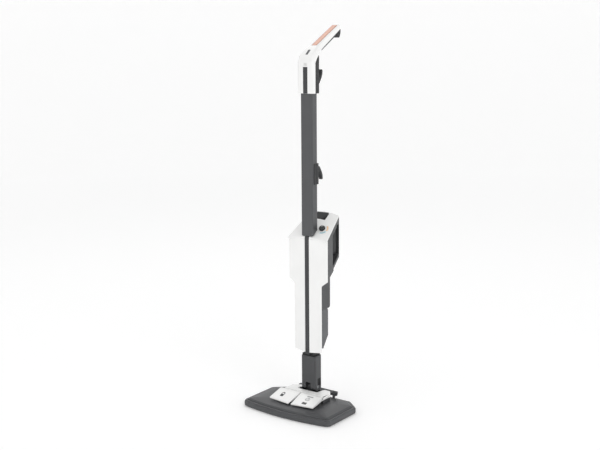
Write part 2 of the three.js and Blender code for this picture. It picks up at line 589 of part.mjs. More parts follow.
function handleSections(grow) {
  const half = HANDLE.width / 2;
  const gripHalf = HANDLE.gripWidth / 2;
  const endHalf = HANDLE.gripEndWidth / 2;
  const sections = [
    { front: [handleFront, socketZ], back: [handleSplit, socketZ], half, bevel: HANDLE.bevel },
    { front: [handleFront, bendZ], back: [handleSplit, bendZ - 4], half, bevel: HANDLE.bevel },
    { front: [-11, bendZ + 19], back: [3, bendZ + 8], half: half * 0.93, bevel: HANDLE.bevel },
    { front: [gripOriginY, gripTopZ(gripOriginY)], back: [20, bendZ + 19], half: half * 0.76, bevel: 6 },
    { front: [40, gripTopZ(40)], back: [46, gripUnderZ(46)], half: gripHalf, bevel: 4.5 },
    { front: [HANDLE.gripRun - 9, gripTopZ(HANDLE.gripRun - 9)],
      back: [HANDLE.gripRun - 3, gripUnderZ(HANDLE.gripRun - 3)], half: endHalf, bevel: 4.5 },
    { front: [HANDLE.gripRun, gripTopZ(HANDLE.gripRun) - 4],
      back: [HANDLE.gripRun + 3, gripUnderZ(HANDLE.gripRun + 3) + 3], half: endHalf - 4, bevel: 3 },
  ];
  if (grow === 0) return sections;
  return sections.map((section) => {
    const f = new THREE.Vector2(...section.front);
    const b = new THREE.Vector2(...section.back);
    const inward = b.clone().sub(f).normalize();
    const front = f.addScaledVector(inward, grow).toArray();
    const back = b.addScaledVector(inward, 3).toArray();
    return { front, back, half: section.half - grow, bevel: section.bevel };
  });
}

function handleFrontShell() {
  const outer = loft(handleSections(0).map(shellLoop));
  const hollow = handleSections(HANDLE.wall);
  hollow[0].front[1] = tubeTop + 4;
  hollow[0].back[1] = tubeTop + 4;
  hollow.pop();
  const room = prism('Z', rectangle(TUBE.width / 2 + GAP, tubeFront - GAP, 30, 2), socketZ - 1, tubeTop + 6);
  return cut(outer, loft(hollow.map(shellLoop)), room, inlay(GAP), collarStrip(GAP),
    indicator(GAP), lens(GAP));
}

function handleRearShell() {
  const half = HANDLE.rearWidth / 2;
  const front = handleSplit + GAP;
  const loop = (f, b, w) => shellLoop({ front: b, back: f, half: w, bevel: 4 });
  const outer = loft([
    loop([front, socketZ], [handleRear, socketZ], half),
    loop([front, bendZ - 22], [handleRear, bendZ - 22], half),
    loop([front, bendZ - 5.6], [handleRear + 3, bendZ - 4], half - 2),
    loop([3.4, bendZ + 6], [handleRear + 8, bendZ + 6], half - 5),
    loop([20.4, bendZ + 16.4], [handleRear + 15, bendZ + 17], half - 11),
  ]);
  const socket = rectangle(TUBE.width / 2 + GAP, front - 5, tubeRear + GAP, 2);
  const room = prism('Z', socket, socketZ - 1, tubeTop + 1);
  const hollow = slab(half - 6, front - 1, handleRear - 4, tubeTop, bendZ - 10);
  return cut(outer, room, hollow);
}

function gripPlate(y0, y1, halfWidth, thickness, sink, grow) {
  const length = (y1 - y0) / Math.cos(gripAngle);
  const plate = new THREE.BoxGeometry(2 * (halfWidth + grow), length + 2 * grow, thickness + 2 * grow);
  plate.rotateX(gripAngle);
  const mid = (y0 + y1) / 2;
  const lift = (thickness / 2 - sink) / Math.cos(gripAngle);
  return plate.translate(0, mid, gripTopZ(mid) + lift);
}

const inlay = (grow) => gripPlate(INLAY.from, INLAY.to, INLAY.width / 2, INLAY.thickness, INLAY.recess, grow);

function collarStrip(grow) {
  const half = HANDLE.stripWidth / 2 + grow;
  return slab(half, handleFront - 0.5, handleFront + 1.5 + grow,
    socketZ + 0.4 - grow, socketZ + HANDLE.stripHeight + grow);
}

function indicator(grow) {
  const z = socketZ + HANDLE.stripHeight + 4;
  return slab(5 + grow, handleFront - 0.4, handleFront + 1.4 + grow, z - grow, z + 7 + grow);
}

function lens(grow) {
  const from = new THREE.Vector2(-11, bendZ + 19);
  const to = new THREE.Vector2(gripOriginY, gripTopZ(gripOriginY));
  const mid = from.clone().lerp(to, 0.45);
  const plate = new THREE.BoxGeometry(8 + 2 * grow, 21 + 2 * grow, 2.4 + 2 * grow);
  plate.rotateX(Math.atan2(to.y - from.y, to.x - from.x));
  return plate.translate(0, mid.x + 0.5, mid.y - 0.6);
}

// The long lever under the grip, turning about a pin near the far end of the grip.
function steamTrigger() {
  const half = TRIGGER.width / 2;
  const d = TRIGGER.depth;
  const { from, to } = TRIGGER;
  const pin = [TRIGGER.pinY, gripUnderZ(TRIGGER.pinY) + 3.4];
  const outline = [[from, gripUnderZ(from) - d + 1.5], [to, gripUnderZ(to) - d], [to, gripUnderZ(to) + 0.6],
    [from + 3, gripUnderZ(from + 3) + 0.8]];
  const lug = bar('X', 3.6, -6, 6, pin, 14);
  const bore = bar('X', TRIGGER.pinRadius + RUN, -half - 1, half + 1, pin, 12);
  const springRoom = [bar('X', 4, 6, half + 1, pin, 14), bar('X', 4, -half - 1, -6, pin, 14)];
  return cut(join(prism('X', outline, -half, half), lug), bore, ...springRoom);
}

// The cap under the end of the grip, with a rail on each side of the trigger.
function gripEndCap() {
  const half = HANDLE.gripEndWidth / 2 - 0.2;
  const from = TRIGGER.to + 1;
  const to = HANDLE.gripRun - 1;
  const outline = [[from, gripUnderZ(from) - TRIGGER.depth], [from + 5, gripUnderZ(from) - 15],
    [from + 11, gripUnderZ(from) - 16], [to, gripUnderZ(to) - 14], [to + 1, gripUnderZ(to + 1) - 1.2],
    [from, gripUnderZ(from) - 0.7]];
  const start = TRIGGER.from + 0.5;
  const rail = [[start, gripUnderZ(start) - 4.5], [from + 1, gripUnderZ(from + 1) - 6],
    [from + 1, gripUnderZ(from + 1) - 0.7], [start, gripUnderZ(start) - 0.7]];
  const inner = TRIGGER.width / 2 + 0.5;
  return join(prism('X', outline, -half, half), prism('X', rail, inner, half),
    prism('X', rail, -half, -inner));
}

function upperCableHook() {
  const wall = handleRear + GAP;
  const z = bendZ - 50;
  const seat = bar('Y', HOOK.baseRadius, wall, wall + 4, [0, z]);
  return join(seat, hookBody(wall + 1, z - 20, 1, HOOK.width / 2));
}

function triggerSwitch() {
  const y = TRIGGER.from + 16;
  const block = new THREE.BoxGeometry(10, 12, 4);
  block.rotateX(gripAngle);
  return block.translate(0, y, gripTopZ(y) - HANDLE.wall - 4);
}

function buildHandle() {
  const pinCentre = [TRIGGER.pinY, gripUnderZ(TRIGGER.pinY) + 3.4];
  add('handle_front_shell', handleFrontShell(), white);
  add('handle_rear_shell', handleRearShell(), black);
  add('grip_inlay', inlay(0), copper);
  add('collar_strip', collarStrip(0), darkGrey);
  add('status_indicator', indicator(0), pale);
  add('bend_lens', lens(0), black);
  add('steam_trigger', steamTrigger(), black);
  add('trigger_pin', bar('X', TRIGGER.pinRadius, -9.8, 9.8, pinCentre, 12), steel);
  add('trigger_spring', sleeve('X', 3.4, TRIGGER.pinRadius + RUN, 6.4, 9.2, pinCentre), steel);
  add('trigger_switch', triggerSwitch(), pale);
  add('grip_end_cap', gripEndCap(), black);
  add('upper_cable_hook', upperCableHook(), black);
  add('control_rod', bar('Z', ROD.radius, tubeBottom + 26, bendZ - 14, [0, rodY], 12), pale);
}

// ---------------------------------------------------------------- portable steam unit
const unitHalf = UNIT.width / 2;
const lowerHalf = UNIT.lowerWidth / 2;
const halfAt = (y) => unitHalf - UNIT.taper * Math.max(y - unitCorner, 0);
const slopeZ = (y) => unitTop + UNIT.slope * (y - unitCorner);
const underZ = (y) => shoulderZ + UNIT.slope * (y - unitCorner);

// The crowned, sloping top surface lowered by an amount, as a solid that reaches down to a floor.
function underTop(drop, inset, floor) {
  const loop = (y) => {
    const w = halfAt(y) - inset;
    const z = slopeZ(y) - drop;
    const top = [[-1, 0], [-0.6, 0.64], [0, 1], [0.6, 0.64], [1, 0]];
    const upper = top.map(([s, c]) => new THREE.Vector3(s * w, y, z + c * UNIT.crown));
    return [new THREE.Vector3(-w, y, floor), ...upper, new THREE.Vector3(w, y, floor)];
  };
  return loft([loop(unitCorner - 12), loop(unitCorner), loop(UNIT.loopRear)]);
}

const frontOutline = (inset) => {
  const upper = unitHalf - inset;
  const lower = lowerHalf - inset;
  return [[-lower, unitBottom + 4], [-14, unitBottom], [14, unitBottom], [lower, unitBottom + 4],
    [lower, shoulderZ - UNIT.shoulderRun], [upper, shoulderZ], [upper, unitTop + 90],
    [-upper, unitTop + 90], [-upper, shoulderZ], [-lower, shoulderZ - UNIT.shoulderRun]];
};

// The front outline run back along the slope, so that the shoulders rise with the top.
function leaningOutline(inset, from, to) {
  const lean = new THREE.Matrix4().makeShear(0, 0, 0, UNIT.slope, 0, 0);
  return prism('Y', frontOutline(inset), from, to).applyMatrix4(lean)
    .translate(0, 0, -UNIT.slope * unitCorner);
}

// Half of the white front: a shallow V in plan, stepping in at the shoulder.
function frontShell(side) {
  const edge = channel;
  const t = UNIT.shellThickness;
  const nose = spineFront + 0.4;
  const plan = [[edge, nose], [unitHalf, unitCorner], [unitHalf, unitCorner + t], [edge, nose + t]]
    .map(([x, y]) => [x * side, y]);
  if (side < 0) plan.reverse();
  const sheet = prism('Z', plan, unitBottom - 1, unitTop + UNIT.crown);
  return meet(sheet, prism('Y', frontOutline(0), spineFront - 5, 60),
    underTop(UNIT.topThickness + GAP, 0, 0));
}

function topShell() {
  const body = cut(underTop(0, 0, unitTop - 30), underTop(UNIT.topThickness, -9, unitTop - 60));
  const front = slab(unitHalf + 9, unitCorner - 40, spineFront + 1.4, 0, unitTop + 90);
  const spineSlot = slab(channel, spineFront - 5, spineRear + 0.6, 0, unitTop + 90);
  const buttonHole = slab(BUTTON.width / 2 + GAP, BUTTON.from - GAP, BUTTON.to + GAP, 0, unitTop + 200);
  const knobAxis = slopeBar(KNOB.shaftRadius + RUN, -20, 20, knobX, KNOB.y);
  return cut(body, front, spineSlot, buttonHole, knobAxis);
}

// The local crown of the top surface at a distance x from the middle.
function crownAt(x, y) {
  const s = Math.abs(x) / halfAt(y);
  return s < 0.6 ? UNIT.crown * (1 - (0.36 * s) / 0.6) : UNIT.crown * 0.64 * ((1 - s) / 0.4);
}

// A round bar square to the sloping top, from and to measured above the surface at (x, y).
function slopeBar(radius, from, to, x, y, sides = 16) {
  const body = bar('Z', radius, from, to, [0, 0], sides);
  body.applyMatrix4(new THREE.Matrix4().makeRotationX(slopeAngle));
  return body.translate(x, y, slopeZ(y) + crownAt(x, y));
}

function casingProfile() {
  const { casingRear, loopRear } = UNIT;
  const rearZ = slopeZ(loopRear);
  return [[unitCorner + 1, casingBottom], [casingRear - 4, casingBottom], [casingRear, casingBottom + 5],
    [casingRear, underZ(casingRear)], [loopRear, underZ(loopRear)], [loopRear, rearZ + 40],
    [unitCorner + 1, rearZ + 40]];
}

// The opening of the rear carrying loop.
function loopOpening() {
  const { loopFront, loopRear, loopBar, loopFloor } = UNIT;
  const back = loopRear - loopBar;
  return prism('X', [[loopFront, underZ(loopFront) + loopFloor], [back, underZ(back) + loopFloor],
    [back, slopeZ(back) - 20],
    [loopFront, slopeZ(loopFront) - 20]], -unitHalf - 9, unitHalf + 9);
}

function casingHalf(side) {
  const plan = (inset, from, to) => [[-halfAt(from) + inset, from], [halfAt(from) - inset, from],
    [halfAt(to) - inset, to], [-halfAt(to) + inset, to]];
  const block = meet(
    prism('X', casingProfile(), -unitHalf, unitHalf),
    prism('Z', plan(0, unitCorner, UNIT.loopRear), 0, unitTop + 99),
    leaningOutline(0, -40, 99),
    underTop(UNIT.topThickness + GAP, 0, 0));
  const w = UNIT.wall;
  const cavity = meet(
    prism('Z', plan(w, unitCorner - 1, UNIT.loopFront - w), casingBottom + w, unitTop + 99),
    leaningOutline(w, -40, UNIT.loopFront - w),
    underTop(UNIT.topThickness + w + 2, w, casingBottom + w));
  const spineChannel = slab(channel, -40, spineRear + 0.6, 0, unitTop + 99);
  const nozzleHole = bar('Y', RECEIVER.radius + 0.8, -40, 20, [0, receiverZ - 3], 16);
  const other = side > 0 ? box(-200, 0.15, -99, 200, 0, 900) : box(-0.15, 200, -99, 200, 0, 900);
  const t = UNIT.shellThickness + GAP;
  const nose = spineFront + 0.4;
  const frontRoom = prism('Z', [[-unitHalf - 1, -99], [unitHalf + 1, -99], [unitHalf + 1, unitCorner + t],
    [channel, nose + t], [-channel, nose + t], [-unitHalf - 1, unitCorner + t]], 0, unitTop + 99);
  const buttonHalf = BUTTON.width / 2 + GAP;
  const buttonWell = slab(buttonHalf, BUTTON.from - GAP, BUTTON.to + GAP, slopeZ(BUTTON.from) - 12, 900);
  const shaftHole = slopeBar(KNOB.shaftRadius + RUN, -30, 9, knobX, KNOB.y);
  const glandHole = bar('Y', 6.4, UNIT.casingRear - 9, UNIT.casingRear + 2, [0, shoulderZ - 30], 16);
  return cut(block, cavity, loopOpening(), spineChannel, nozzleHole, frontRoom, buttonWell, shaftHole,
    glandHole, other);
}

function releaseButton() {
  const { width, from, to, thickness, proud } = BUTTON;
  const half = width / 2;
  const base = prism('X', [[from, slopeZ(from) - thickness], [to, slopeZ(to) - thickness],
    [to, slopeZ(to) + UNIT.crown + proud], [to - 3, slopeZ(to) + UNIT.crown + proud],
    [from, slopeZ(from) + UNIT.crown + proud * 0.6]], -half, half);
  const plan = [[-half * 0.62, from], [half * 0.62, from], [half, to], [-half, to]];
  return meet(base, prism('Z', plan, 0, 900));
}

function dockLatch() {
  const z = latchZ;
  return slab(3.6, spineRear - 3.6, UNIT.loopFront - UNIT.wall - 5.5, z - 2.6, z + 2.6);
}

function steamKnob() {
  const skirtFrom = crownAt(knobX - KNOB.radius, KNOB.y) - crownAt(knobX, KNOB.y);
  const skirt = slopeBar(KNOB.radius, skirtFrom, KNOB.height - 3, knobX, KNOB.y, 20);
  const crown = slopeBar(KNOB.radius - 1.8, KNOB.height - 4, KNOB.height, knobX, KNOB.y, 20);
  return join(skirt, crown, slopeBar(KNOB.shaftRadius, -KNOB.shaftLength, skirtFrom + 1, knobX, KNOB.y));
}

function waterTank() {
  const front = unitCorner + 1.2;
  const top = casingBottom - GAP;
  const low = unitBottom + TANK.bottomRise;
  const outline = [[front + 8, low - 3], [TANK.rear, low + 36], [TANK.rear, top - 8], [TANK.rear - 4, top],
    [front, top], [front, low + 2]];
  const hollow = [[front + 9, low + 0.5], [TANK.rear - 2.5, low + 37], [TANK.rear - 2.5, top - 9],
    [TANK.rear - 5, top - 3], [front + 2.5, top - 3], [front + 2.5, low + 4]];
  const half = lowerHalf - 0.2;
  const room = prism('Z', [[-unitHalf, -99], [unitHalf, -99], [unitHalf, unitCorner + UNIT.shellThickness],
    [channel, spineFront + 0.8 + UNIT.shellThickness], [-channel, spineFront + 0.8 + UNIT.shellThickness],
    [-unitHalf, unitCorner + UNIT.shellThickness]], 0, top + 9);
  const channelCut = slab(channel, -40, spineRear + 0.6, 0, top + 9);
  const channelWall = slab(channel + 2.5, -40, spineRear + 3.1, 0, top + 9);
  const wall = prism('X', outline, -half, half);
  const inside = cut(prism('X', hollow, -half + 2.5, half - 2.5), channelWall);
  const mouth = bar('Y', TANK.capRadius - 3.4, TANK.rear - 4, TANK.rear + 2, [0, low + 62], 20);
  return cut(cut(wall, inside, mouth), room, channelCut);
}

function tankCap() {
  const z = unitBottom + TANK.bottomRise + 62;
  const centre = [0, z];
  return join(bar('Y', TANK.capRadius, TANK.rear + GAP, TANK.rear + 6, centre, 24),
    bar('Y', TANK.capRadius - 4, TANK.rear - 6, TANK.rear + 1, centre, 20));
}

function handTrigger() {
  const y = UNIT.loopRear - UNIT.loopBar;
  const top = slopeZ(y) - 28;
  const outline = [[y - 4.5, top], [y - 4.5, top - 26], [y - 8, top - 50],
    [y - 12, top - 50], [y - 12, top - 6], [y - 9, top]];
  return prism('X', outline, -9, 9);
}

function buildUnit() {
  const nozzleFrom = spineRear + GAP + RECEIVER.length + 1;
  const nozzleZ = receiverZ - 3;
  const inside = UNIT.loopFront - UNIT.wall;
  const cavityFront = spineRear + 3.6;
  const insideHalf = halfAt(inside) - UNIT.wall - 3.5;
  add('front_shell_left', frontShell(-1), pale);
  add('front_shell_right', frontShell(1), white);
  add('top_shell', topShell(), white);
  add('casing_left', casingHalf(-1), charcoal);
  add('casing_right', casingHalf(1), charcoal);
  add('release_button', releaseButton(), black);
  add('dock_latch', dockLatch(), black);
  add('steam_knob', steamKnob(), black);
  add('hand_trigger', handTrigger(), black);
  add('water_tank', waterTank(), smoke);
  add('tank_cap', tankCap(), black);
  add('boiler', cut(box(-insideHalf, -14, cavityFront + 1, inside - 2, shoulderZ + 24, shoulderZ + 92),
    box(4 - insideHalf, -18, cavityFront + 5, inside - 6, shoulderZ + 28, shoulderZ + 99)), steel);
  add('pump', box(14, insideHalf - 4, cavityFront + 1, inside - 2, shoulderZ + 20, shoulderZ + 52), brass);
  add('circuit_board', box(14, insideHalf, inside - 4, inside - 2, shoulderZ + 54, shoulderZ + 98), green);
  add('outlet_nozzle', sleeve('Y', RECEIVER.nozzleRadius, 1.8, nozzleFrom, nozzleFrom + RECEIVER.nozzleLength,
    [0, nozzleZ], 12), brass);
  add('cord_gland', sleeve('Y', 6, 3.6, UNIT.casingRear - 8, UNIT.casingRear + 9,
    [0, shoulderZ - 30]), rubber);
}

buildHead();
buildNeck();
buildHandle();
buildUnit();

export default mop;
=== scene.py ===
"""Upright steam mop: finished surfaces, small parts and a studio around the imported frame.

Lengths are millimetres in the frame's axes: +Z up, the front towards -Y, the floor at Z 0.
"""
import logging
import math
from collections.abc import Callable, Iterator, Sequence
from contextlib import contextmanager
from dataclasses import dataclass
from enum import Enum

import bmesh
import bpy
from mathutils import Matrix, Vector


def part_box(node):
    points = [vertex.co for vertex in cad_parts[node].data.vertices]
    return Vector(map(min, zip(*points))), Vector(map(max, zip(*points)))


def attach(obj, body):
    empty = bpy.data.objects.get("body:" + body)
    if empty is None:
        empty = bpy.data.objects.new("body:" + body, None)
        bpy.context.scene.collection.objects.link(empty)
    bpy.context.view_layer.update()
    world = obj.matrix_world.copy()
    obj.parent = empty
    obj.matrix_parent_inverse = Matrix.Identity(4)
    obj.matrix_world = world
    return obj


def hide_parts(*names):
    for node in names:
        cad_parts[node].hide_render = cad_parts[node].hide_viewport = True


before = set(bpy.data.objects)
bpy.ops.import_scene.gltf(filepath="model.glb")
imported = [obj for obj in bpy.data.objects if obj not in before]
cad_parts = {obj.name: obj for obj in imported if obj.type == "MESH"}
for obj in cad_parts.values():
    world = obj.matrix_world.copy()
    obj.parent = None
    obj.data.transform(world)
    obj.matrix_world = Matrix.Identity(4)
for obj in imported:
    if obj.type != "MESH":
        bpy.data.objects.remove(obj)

MM = 0.001
MERGE = 0.02  # distance at which loose corners of a CAD node are one, mm
SLIVER = 0.01  # distance at which corners left by a rounding are one, mm
FLAT = 0.7  # folds below this many degrees are drawn as one flat face
SMOOTH = 38.0  # folds below this many degrees are shaded as one surface
Point = Sequence[float]
log = logging.getLogger("steam_mop")


class Axis(Enum):
    """The three directions of the frame."""

    X = (1.0, 0.0, 0.0)
    Y = (0.0, 1.0, 0.0)
    Z = (0.0, 0.0, 1.0)


# ---- modelling bench
@dataclass(frozen=True)
class EdgeFacts:
    """What an edge is chosen by: middle and length in mm, direction, and fold in degrees."""

    mid: Vector
    along: Vector
    fold: float
    length: float


@dataclass(frozen=True)
class FaceFacts:
    """What a face is chosen by: its centre in mm and its normal."""

    centre: Vector
    normal: Vector


EdgeTest = Callable[[EdgeFacts], bool]
FaceTest = Callable[[FaceFacts], bool]


class Shape:
    """One mesh object on the bench, with the operators that model it."""

    def __init__(self, obj: bpy.types.Object, node: str | None = None) -> None:
        """Takes an object that already exists.

        Args:
            obj: The mesh object.
            node: The CAD node it is a copy of.
        """
        self.obj = obj
        self.node = node

    @classmethod
    def _fresh(cls, name: str) -> "Shape":
        """Names the primitive that was just added and applies its place.

        Args:
            name: The new object's name.

        Returns:
            The primitive as a shape, its object at the origin.
        """
        obj = bpy.context.active_object
        obj.name = name
        obj.data.name = name
        bpy.ops.object.transform_apply(location=True, rotation=True, scale=True)
        return cls(obj)

    @classmethod
    def block(cls, name: str, corner: Point, opposite: Point) -> "Shape":
        """A box between two opposite corners.

        Args:
            name: The object's name.
            corner: One corner, mm.
            opposite: The corner farthest from it, mm.

        Returns:
            The box.
        """
        first, last = Vector(corner), Vector(opposite)
        size = [abs(side) for side in last - first]
        bpy.ops.object.select_all(action="DESELECT")
        bpy.ops.mesh.primitive_cube_add(size=MM, location=(first + last) * 0.5 * MM, scale=size)
        return cls._fresh(name)

    @classmethod
    def rod(cls, name: str, radius: float, start: Point, end: Point, sides: int = 48) -> "Shape":
        """A round bar from one point to another.

        Args:
            name: The object's name.
            radius: Radius, mm.
            start: Middle of the first end, mm.
            end: Middle of the other end, mm.
            sides: Faces round it.

        Returns:
            The bar.
        """
        start, end = Vector(start), Vector(end)
        turn = (end - start).to_track_quat("Z", "Y").to_euler()
        bpy.ops.object.select_all(action="DESELECT")
        bpy.ops.mesh.primitive_cylinder_add(
            vertices=sides, radius=radius * MM, depth=(end - start).length * MM,
            location=(start + end) * 0.5 * MM, rotation=turn)
        return cls._fresh(name)

    @classmethod
    def hoop(cls, name: str, radius: float, thickness: float, sides: int = 48) -> "Shape":
        """A round hoop about +Z at the origin.

        Args:
            name: The object's name.
            radius: Radius of its middle line, mm.
            thickness: Radius of its section, mm.
            sides: Faces round it.

        Returns:
            The hoop.
        """
        bpy.ops.object.select_all(action="DESELECT")
        bpy.ops.mesh.primitive_torus_add(major_radius=radius * MM, minor_radius=thickness * MM,
                                         major_segments=sides, minor_segments=10)
        return cls._fresh(name)

    @classmethod
    def of_node(cls, node: str) -> "Shape":
        """A copy of a CAD node, its loose triangles merged into clean flat faces.

        Args:
            node: The CAD node.

        Returns:
            The copy, named after the node with _body added.
        """
        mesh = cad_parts[node].data.copy()
        mesh.materials.clear()
        obj = bpy.data.objects.new(f"{node}_body", mesh)
        bpy.context.scene.collection.objects.link(obj)
        shape = cls(obj, node)
        shape.pick()
        if mesh.has_custom_normals:
            bpy.ops.mesh.customdata_custom_splitnormals_clear()
        with shape.editing("VERT"):
            bpy.ops.mesh.select_all(action="SELECT")
            bpy.ops.mesh.remove_doubles(threshold=MERGE * MM)
            bpy.ops.mesh.dissolve_limited(angle_limit=math.radians(FLAT))
        return shape

    def pick(self) -> None:
        """Makes this the only selected object, and the active one."""
        bpy.ops.object.select_all(action="DESELECT")
        self.obj.hide_set(False)
        self.obj.select_set(True)
        bpy.context.view_layer.objects.active = self.obj

    @contextmanager
    def editing(self, element: str) -> Iterator[bmesh.types.BMesh]:
        """Edit mode with nothing selected.

        Args:
            element: VERT, EDGE or FACE.

        Yields:
            The mesh, for selecting in.
        """
        self.pick()
        bpy.ops.object.mode_set(mode="EDIT")
        bpy.ops.mesh.select_mode(type=element)
        bpy.ops.mesh.select_all(action="DESELECT")
        yield bmesh.from_edit_mesh(self.obj.data)
        bpy.ops.object.mode_set(mode="OBJECT")

    def _choose_faces(self, mesh: bmesh.types.BMesh, test: FaceTest) -> int:
        """Selects the faces that pass a test.

        Args:
            mesh: The mesh in edit mode.
            test: What a face must be.

        Returns:
            How many were selected.
        """
        chosen = 0
        for face in mesh.faces:
            facts = FaceFacts(face.calc_center_median() / MM, face.normal.copy())
            face.select_set(test(facts))
            chosen += face.select
        bmesh.update_edit_mesh(self.obj.data)
        return chosen

    def bevel(self, test: EdgeTest, width: float, segments: int = 3) -> "Shape":
        """Rounds chosen edges.

        Args:
            test: What an edge must be.
            width: Width of the rounding, mm.
            segments: Steps across it.

        Returns:
            This shape.
        """
        with self.editing("EDGE") as mesh:
            for edge in mesh.edges:
                if len(edge.link_faces) != 2:
                    continue
                ends = edge.verts[0].co, edge.verts[1].co
                along = (ends[1] - ends[0]).normalized()
                fold = math.degrees(edge.calc_face_angle(0.0))
                middle = (ends[0] + ends[1]) * 0.5 / MM
                edge.select_set(test(EdgeFacts(middle, along, fold, edge.calc_length() / MM)))
            bmesh.update_edit_mesh(self.obj.data)
            bpy.ops.mesh.bevel(offset=width * MM, segments=segments, affect="EDGES",
                               clamp_overlap=True)
        return self

    def raise_faces(self, test: FaceTest, margin: float, height: float) -> "Shape":
        """Extrudes chosen faces along their normal, drawn in by a margin.

        Args:
            test: What a face must be.
            margin: How far the new faces are drawn in, mm.
            height: How far they move out, mm; below 0 they move in.

        Returns:
            This shape.
        """
        with self.editing("FACE") as mesh:
            if self._choose_faces(mesh, test):
                bpy.ops.mesh.inset(thickness=margin * MM, depth=height * MM)
        return self

    def open_up(self, test: FaceTest) -> "Shape":
        """Removes chosen faces.

        Args:
            test: What a face must be.

        Returns:
            This shape.
        """
        with self.editing("FACE") as mesh:
            self._choose_faces(mesh, test)
            bpy.ops.mesh.delete(type="FACE")
        return self

    def turn_inside_out(self) -> "Shape":
        """Makes the faces look the other way."""
        with self.editing("FACE"):
            bpy.ops.mesh.select_all(action="SELECT")
            bpy.ops.mesh.flip_normals()
        return self

    def clip(self, point: Point, normal: Point) -> "Shape":
        """Cuts off what lies beyond a plane and closes the cut.

        Args:
            point: A point of the plane, mm.
            normal: The side that is cut off.

        Returns:
            This shape.
        """
        with self.editing("VERT"):
            bpy.ops.mesh.select_all(action="SELECT")
            bpy.ops.mesh.bisect(plane_co=Vector(point) * MM, plane_no=normal, use_fill=True,
                                clear_outer=True)
        return self

    def place(self, matrix: Matrix) -> "Shape":
        """Moves the mesh by a matrix whose translation is in mm.

        Args:
            matrix: The move.

        Returns:
            This shape.
        """
        where = matrix.copy()
        where.translation = matrix.translation * MM
        self.pick()
        self.obj.matrix_world = where
        bpy.ops.object.transform_apply(location=True, rotation=True, scale=True)
        return self

    def copy(self, name: str, shift: Point) -> "Shape":
        """A copy with a mesh of its own.

        Args:
            name: The copy's name.
            shift: How far it is moved, mm.

        Returns:
            The copy.
        """
        self.pick()
        bpy.ops.object.duplicate()
        twin = bpy.context.active_object
        twin.name = name
        twin.data.name = name
        return Shape(twin).place(Matrix.Translation(Vector(shift)))

    def row(self, count: int, step: Point) -> "Shape":
        """Repeats this shape along a line, as one mesh.

        Args:
            count: How many in all.
            step: From one to the next, mm.

        Returns:
            This shape with its copies joined to it.
        """
        step = Vector(step)
        twins = [self.copy(f"{self.obj.name}_{i}", step * i) for i in range(1, count)]
        return self.join(*twins)

    def join(self, *others: "Shape") -> "Shape":
        """Puts other shapes into this mesh, as bodies of their own.

        Args:
            others: The shapes taken in.

        Returns:
            This shape.
        """
        self.pick()
        for other in others:
            other.obj.select_set(True)
        if others:
            bpy.ops.object.join()
        return self

    def _combine(self, operation: str, others: Sequence["Shape"]) -> "Shape":
        """Applies a boolean modifier for each of some shapes and removes them.

        Args:
            operation: DIFFERENCE or UNION.
            others: The other operands.

        Returns:
            This shape.
        """
        for other in others:
            self.pick()
            change = self.obj.modifiers.new(operation.title(), "BOOLEAN")
            change.operation = operation
            change.object = other.obj
            change.solver = "EXACT"
            change.use_self = True
            bpy.ops.object.modifier_apply(modifier=change.name)
            bpy.data.objects.remove(other.obj)
        return self

    def cut(self, *tools: "Shape") -> "Shape":
        """Takes shapes away from this one; they are used up."""
        return self._combine("DIFFERENCE", tools)

    def weld(self, *parts: "Shape") -> "Shape":
        """Fuses shapes with this one; they are used up."""
        return self._combine("UNION", parts)

    def soften(self, width: float, segments: int = 2, sharper_than: float = 32.0) -> "Shape":
        """Breaks every sharp edge with a small radius and shades the faces smoothly.

        Args:
            width: Width of the radius, mm.
            segments: Steps across it.
            sharper_than: Folds below this many degrees are left as they are.

        Returns:
            This shape.
        """
        self.pick()
        edge = self.obj.modifiers.new("EdgeRadius", "BEVEL")
        edge.width = width * MM
        edge.segments = segments
        edge.limit_method = "ANGLE"
        edge.angle_limit = math.radians(sharper_than)
        edge.use_clamp_overlap = True
        edge.miter_outer = "MITER_ARC"
        bpy.ops.object.modifier_apply(modifier=edge.name)
        with self.editing("VERT"):
            bpy.ops.mesh.select_all(action="SELECT")
            bpy.ops.mesh.remove_doubles(threshold=SLIVER * MM)
        self.pick()
        bpy.ops.object.shade_smooth_by_angle(angle=math.radians(SMOOTH))
        even = self.obj.modifiers.new("EvenNormals", "WEIGHTED_NORMAL")
        even.keep_sharp = True
        even.weight = 50
        bpy.ops.object.modifier_apply(modifier=even.name)
        return self

    def dress(self, name: str, finish: "Finish", body: str, node: str | None = None) -> None:
        """Names the piece, gives it its finish and hangs it on its body.

        Args:
            name: The piece's name.
            finish: Its finish.
            body: The CAD body it moves with.
            node: The CAD node it stands for, where it is not a copy of that node.
        """
        self.obj.name = name
        self.obj.data.name = name
        self.obj.data.materials.clear()
        self.obj.data.materials.append(finish.material())
        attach(self.obj, body)
        node = node or self.node
        if node:
            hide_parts(node)
        log.info("%s: %d faces on %s, %s", name, len(self.obj.data.polygons), body, finish.name)


# ---- finishes
class Slot(Enum):
    """The material slots that the finishes name."""

    CHARCOAL = "charcoal_plastic"
    DARK = "dark_plastic"
    BLACK = "black_plastic"
    WHITE = "white_plastic"
    PALE = "pale_plastic"
    COPPER = "copper_trim"
    STEEL = "steel"
    TUBE = "tube_paint"
    RUBBER = "black_rubber"
    SMOKED = "smoked_plastic"
    DISPLAY = "display_plastic"
    BRASS = "brass"
    LAMINATE = "circuit_laminate"


Output = tuple[bpy.types.Node, str]


def linear(hex_colour: str) -> tuple[float, float, float, float]:
    """Turns an sRGB hex colour to linear.

    Args:
        hex_colour: Six hex digits.

    Returns:
        Red, green, blue and alpha.
    """
    parts = [int(hex_colour[i:i + 2], 16) / 255 for i in (0, 2, 4)]
    red, green, blue = (c / 12.92 if c <= 0.04045 else ((c + 0.055) / 1.055) ** 2.4 for c in parts)
    return red, green, blue, 1.0


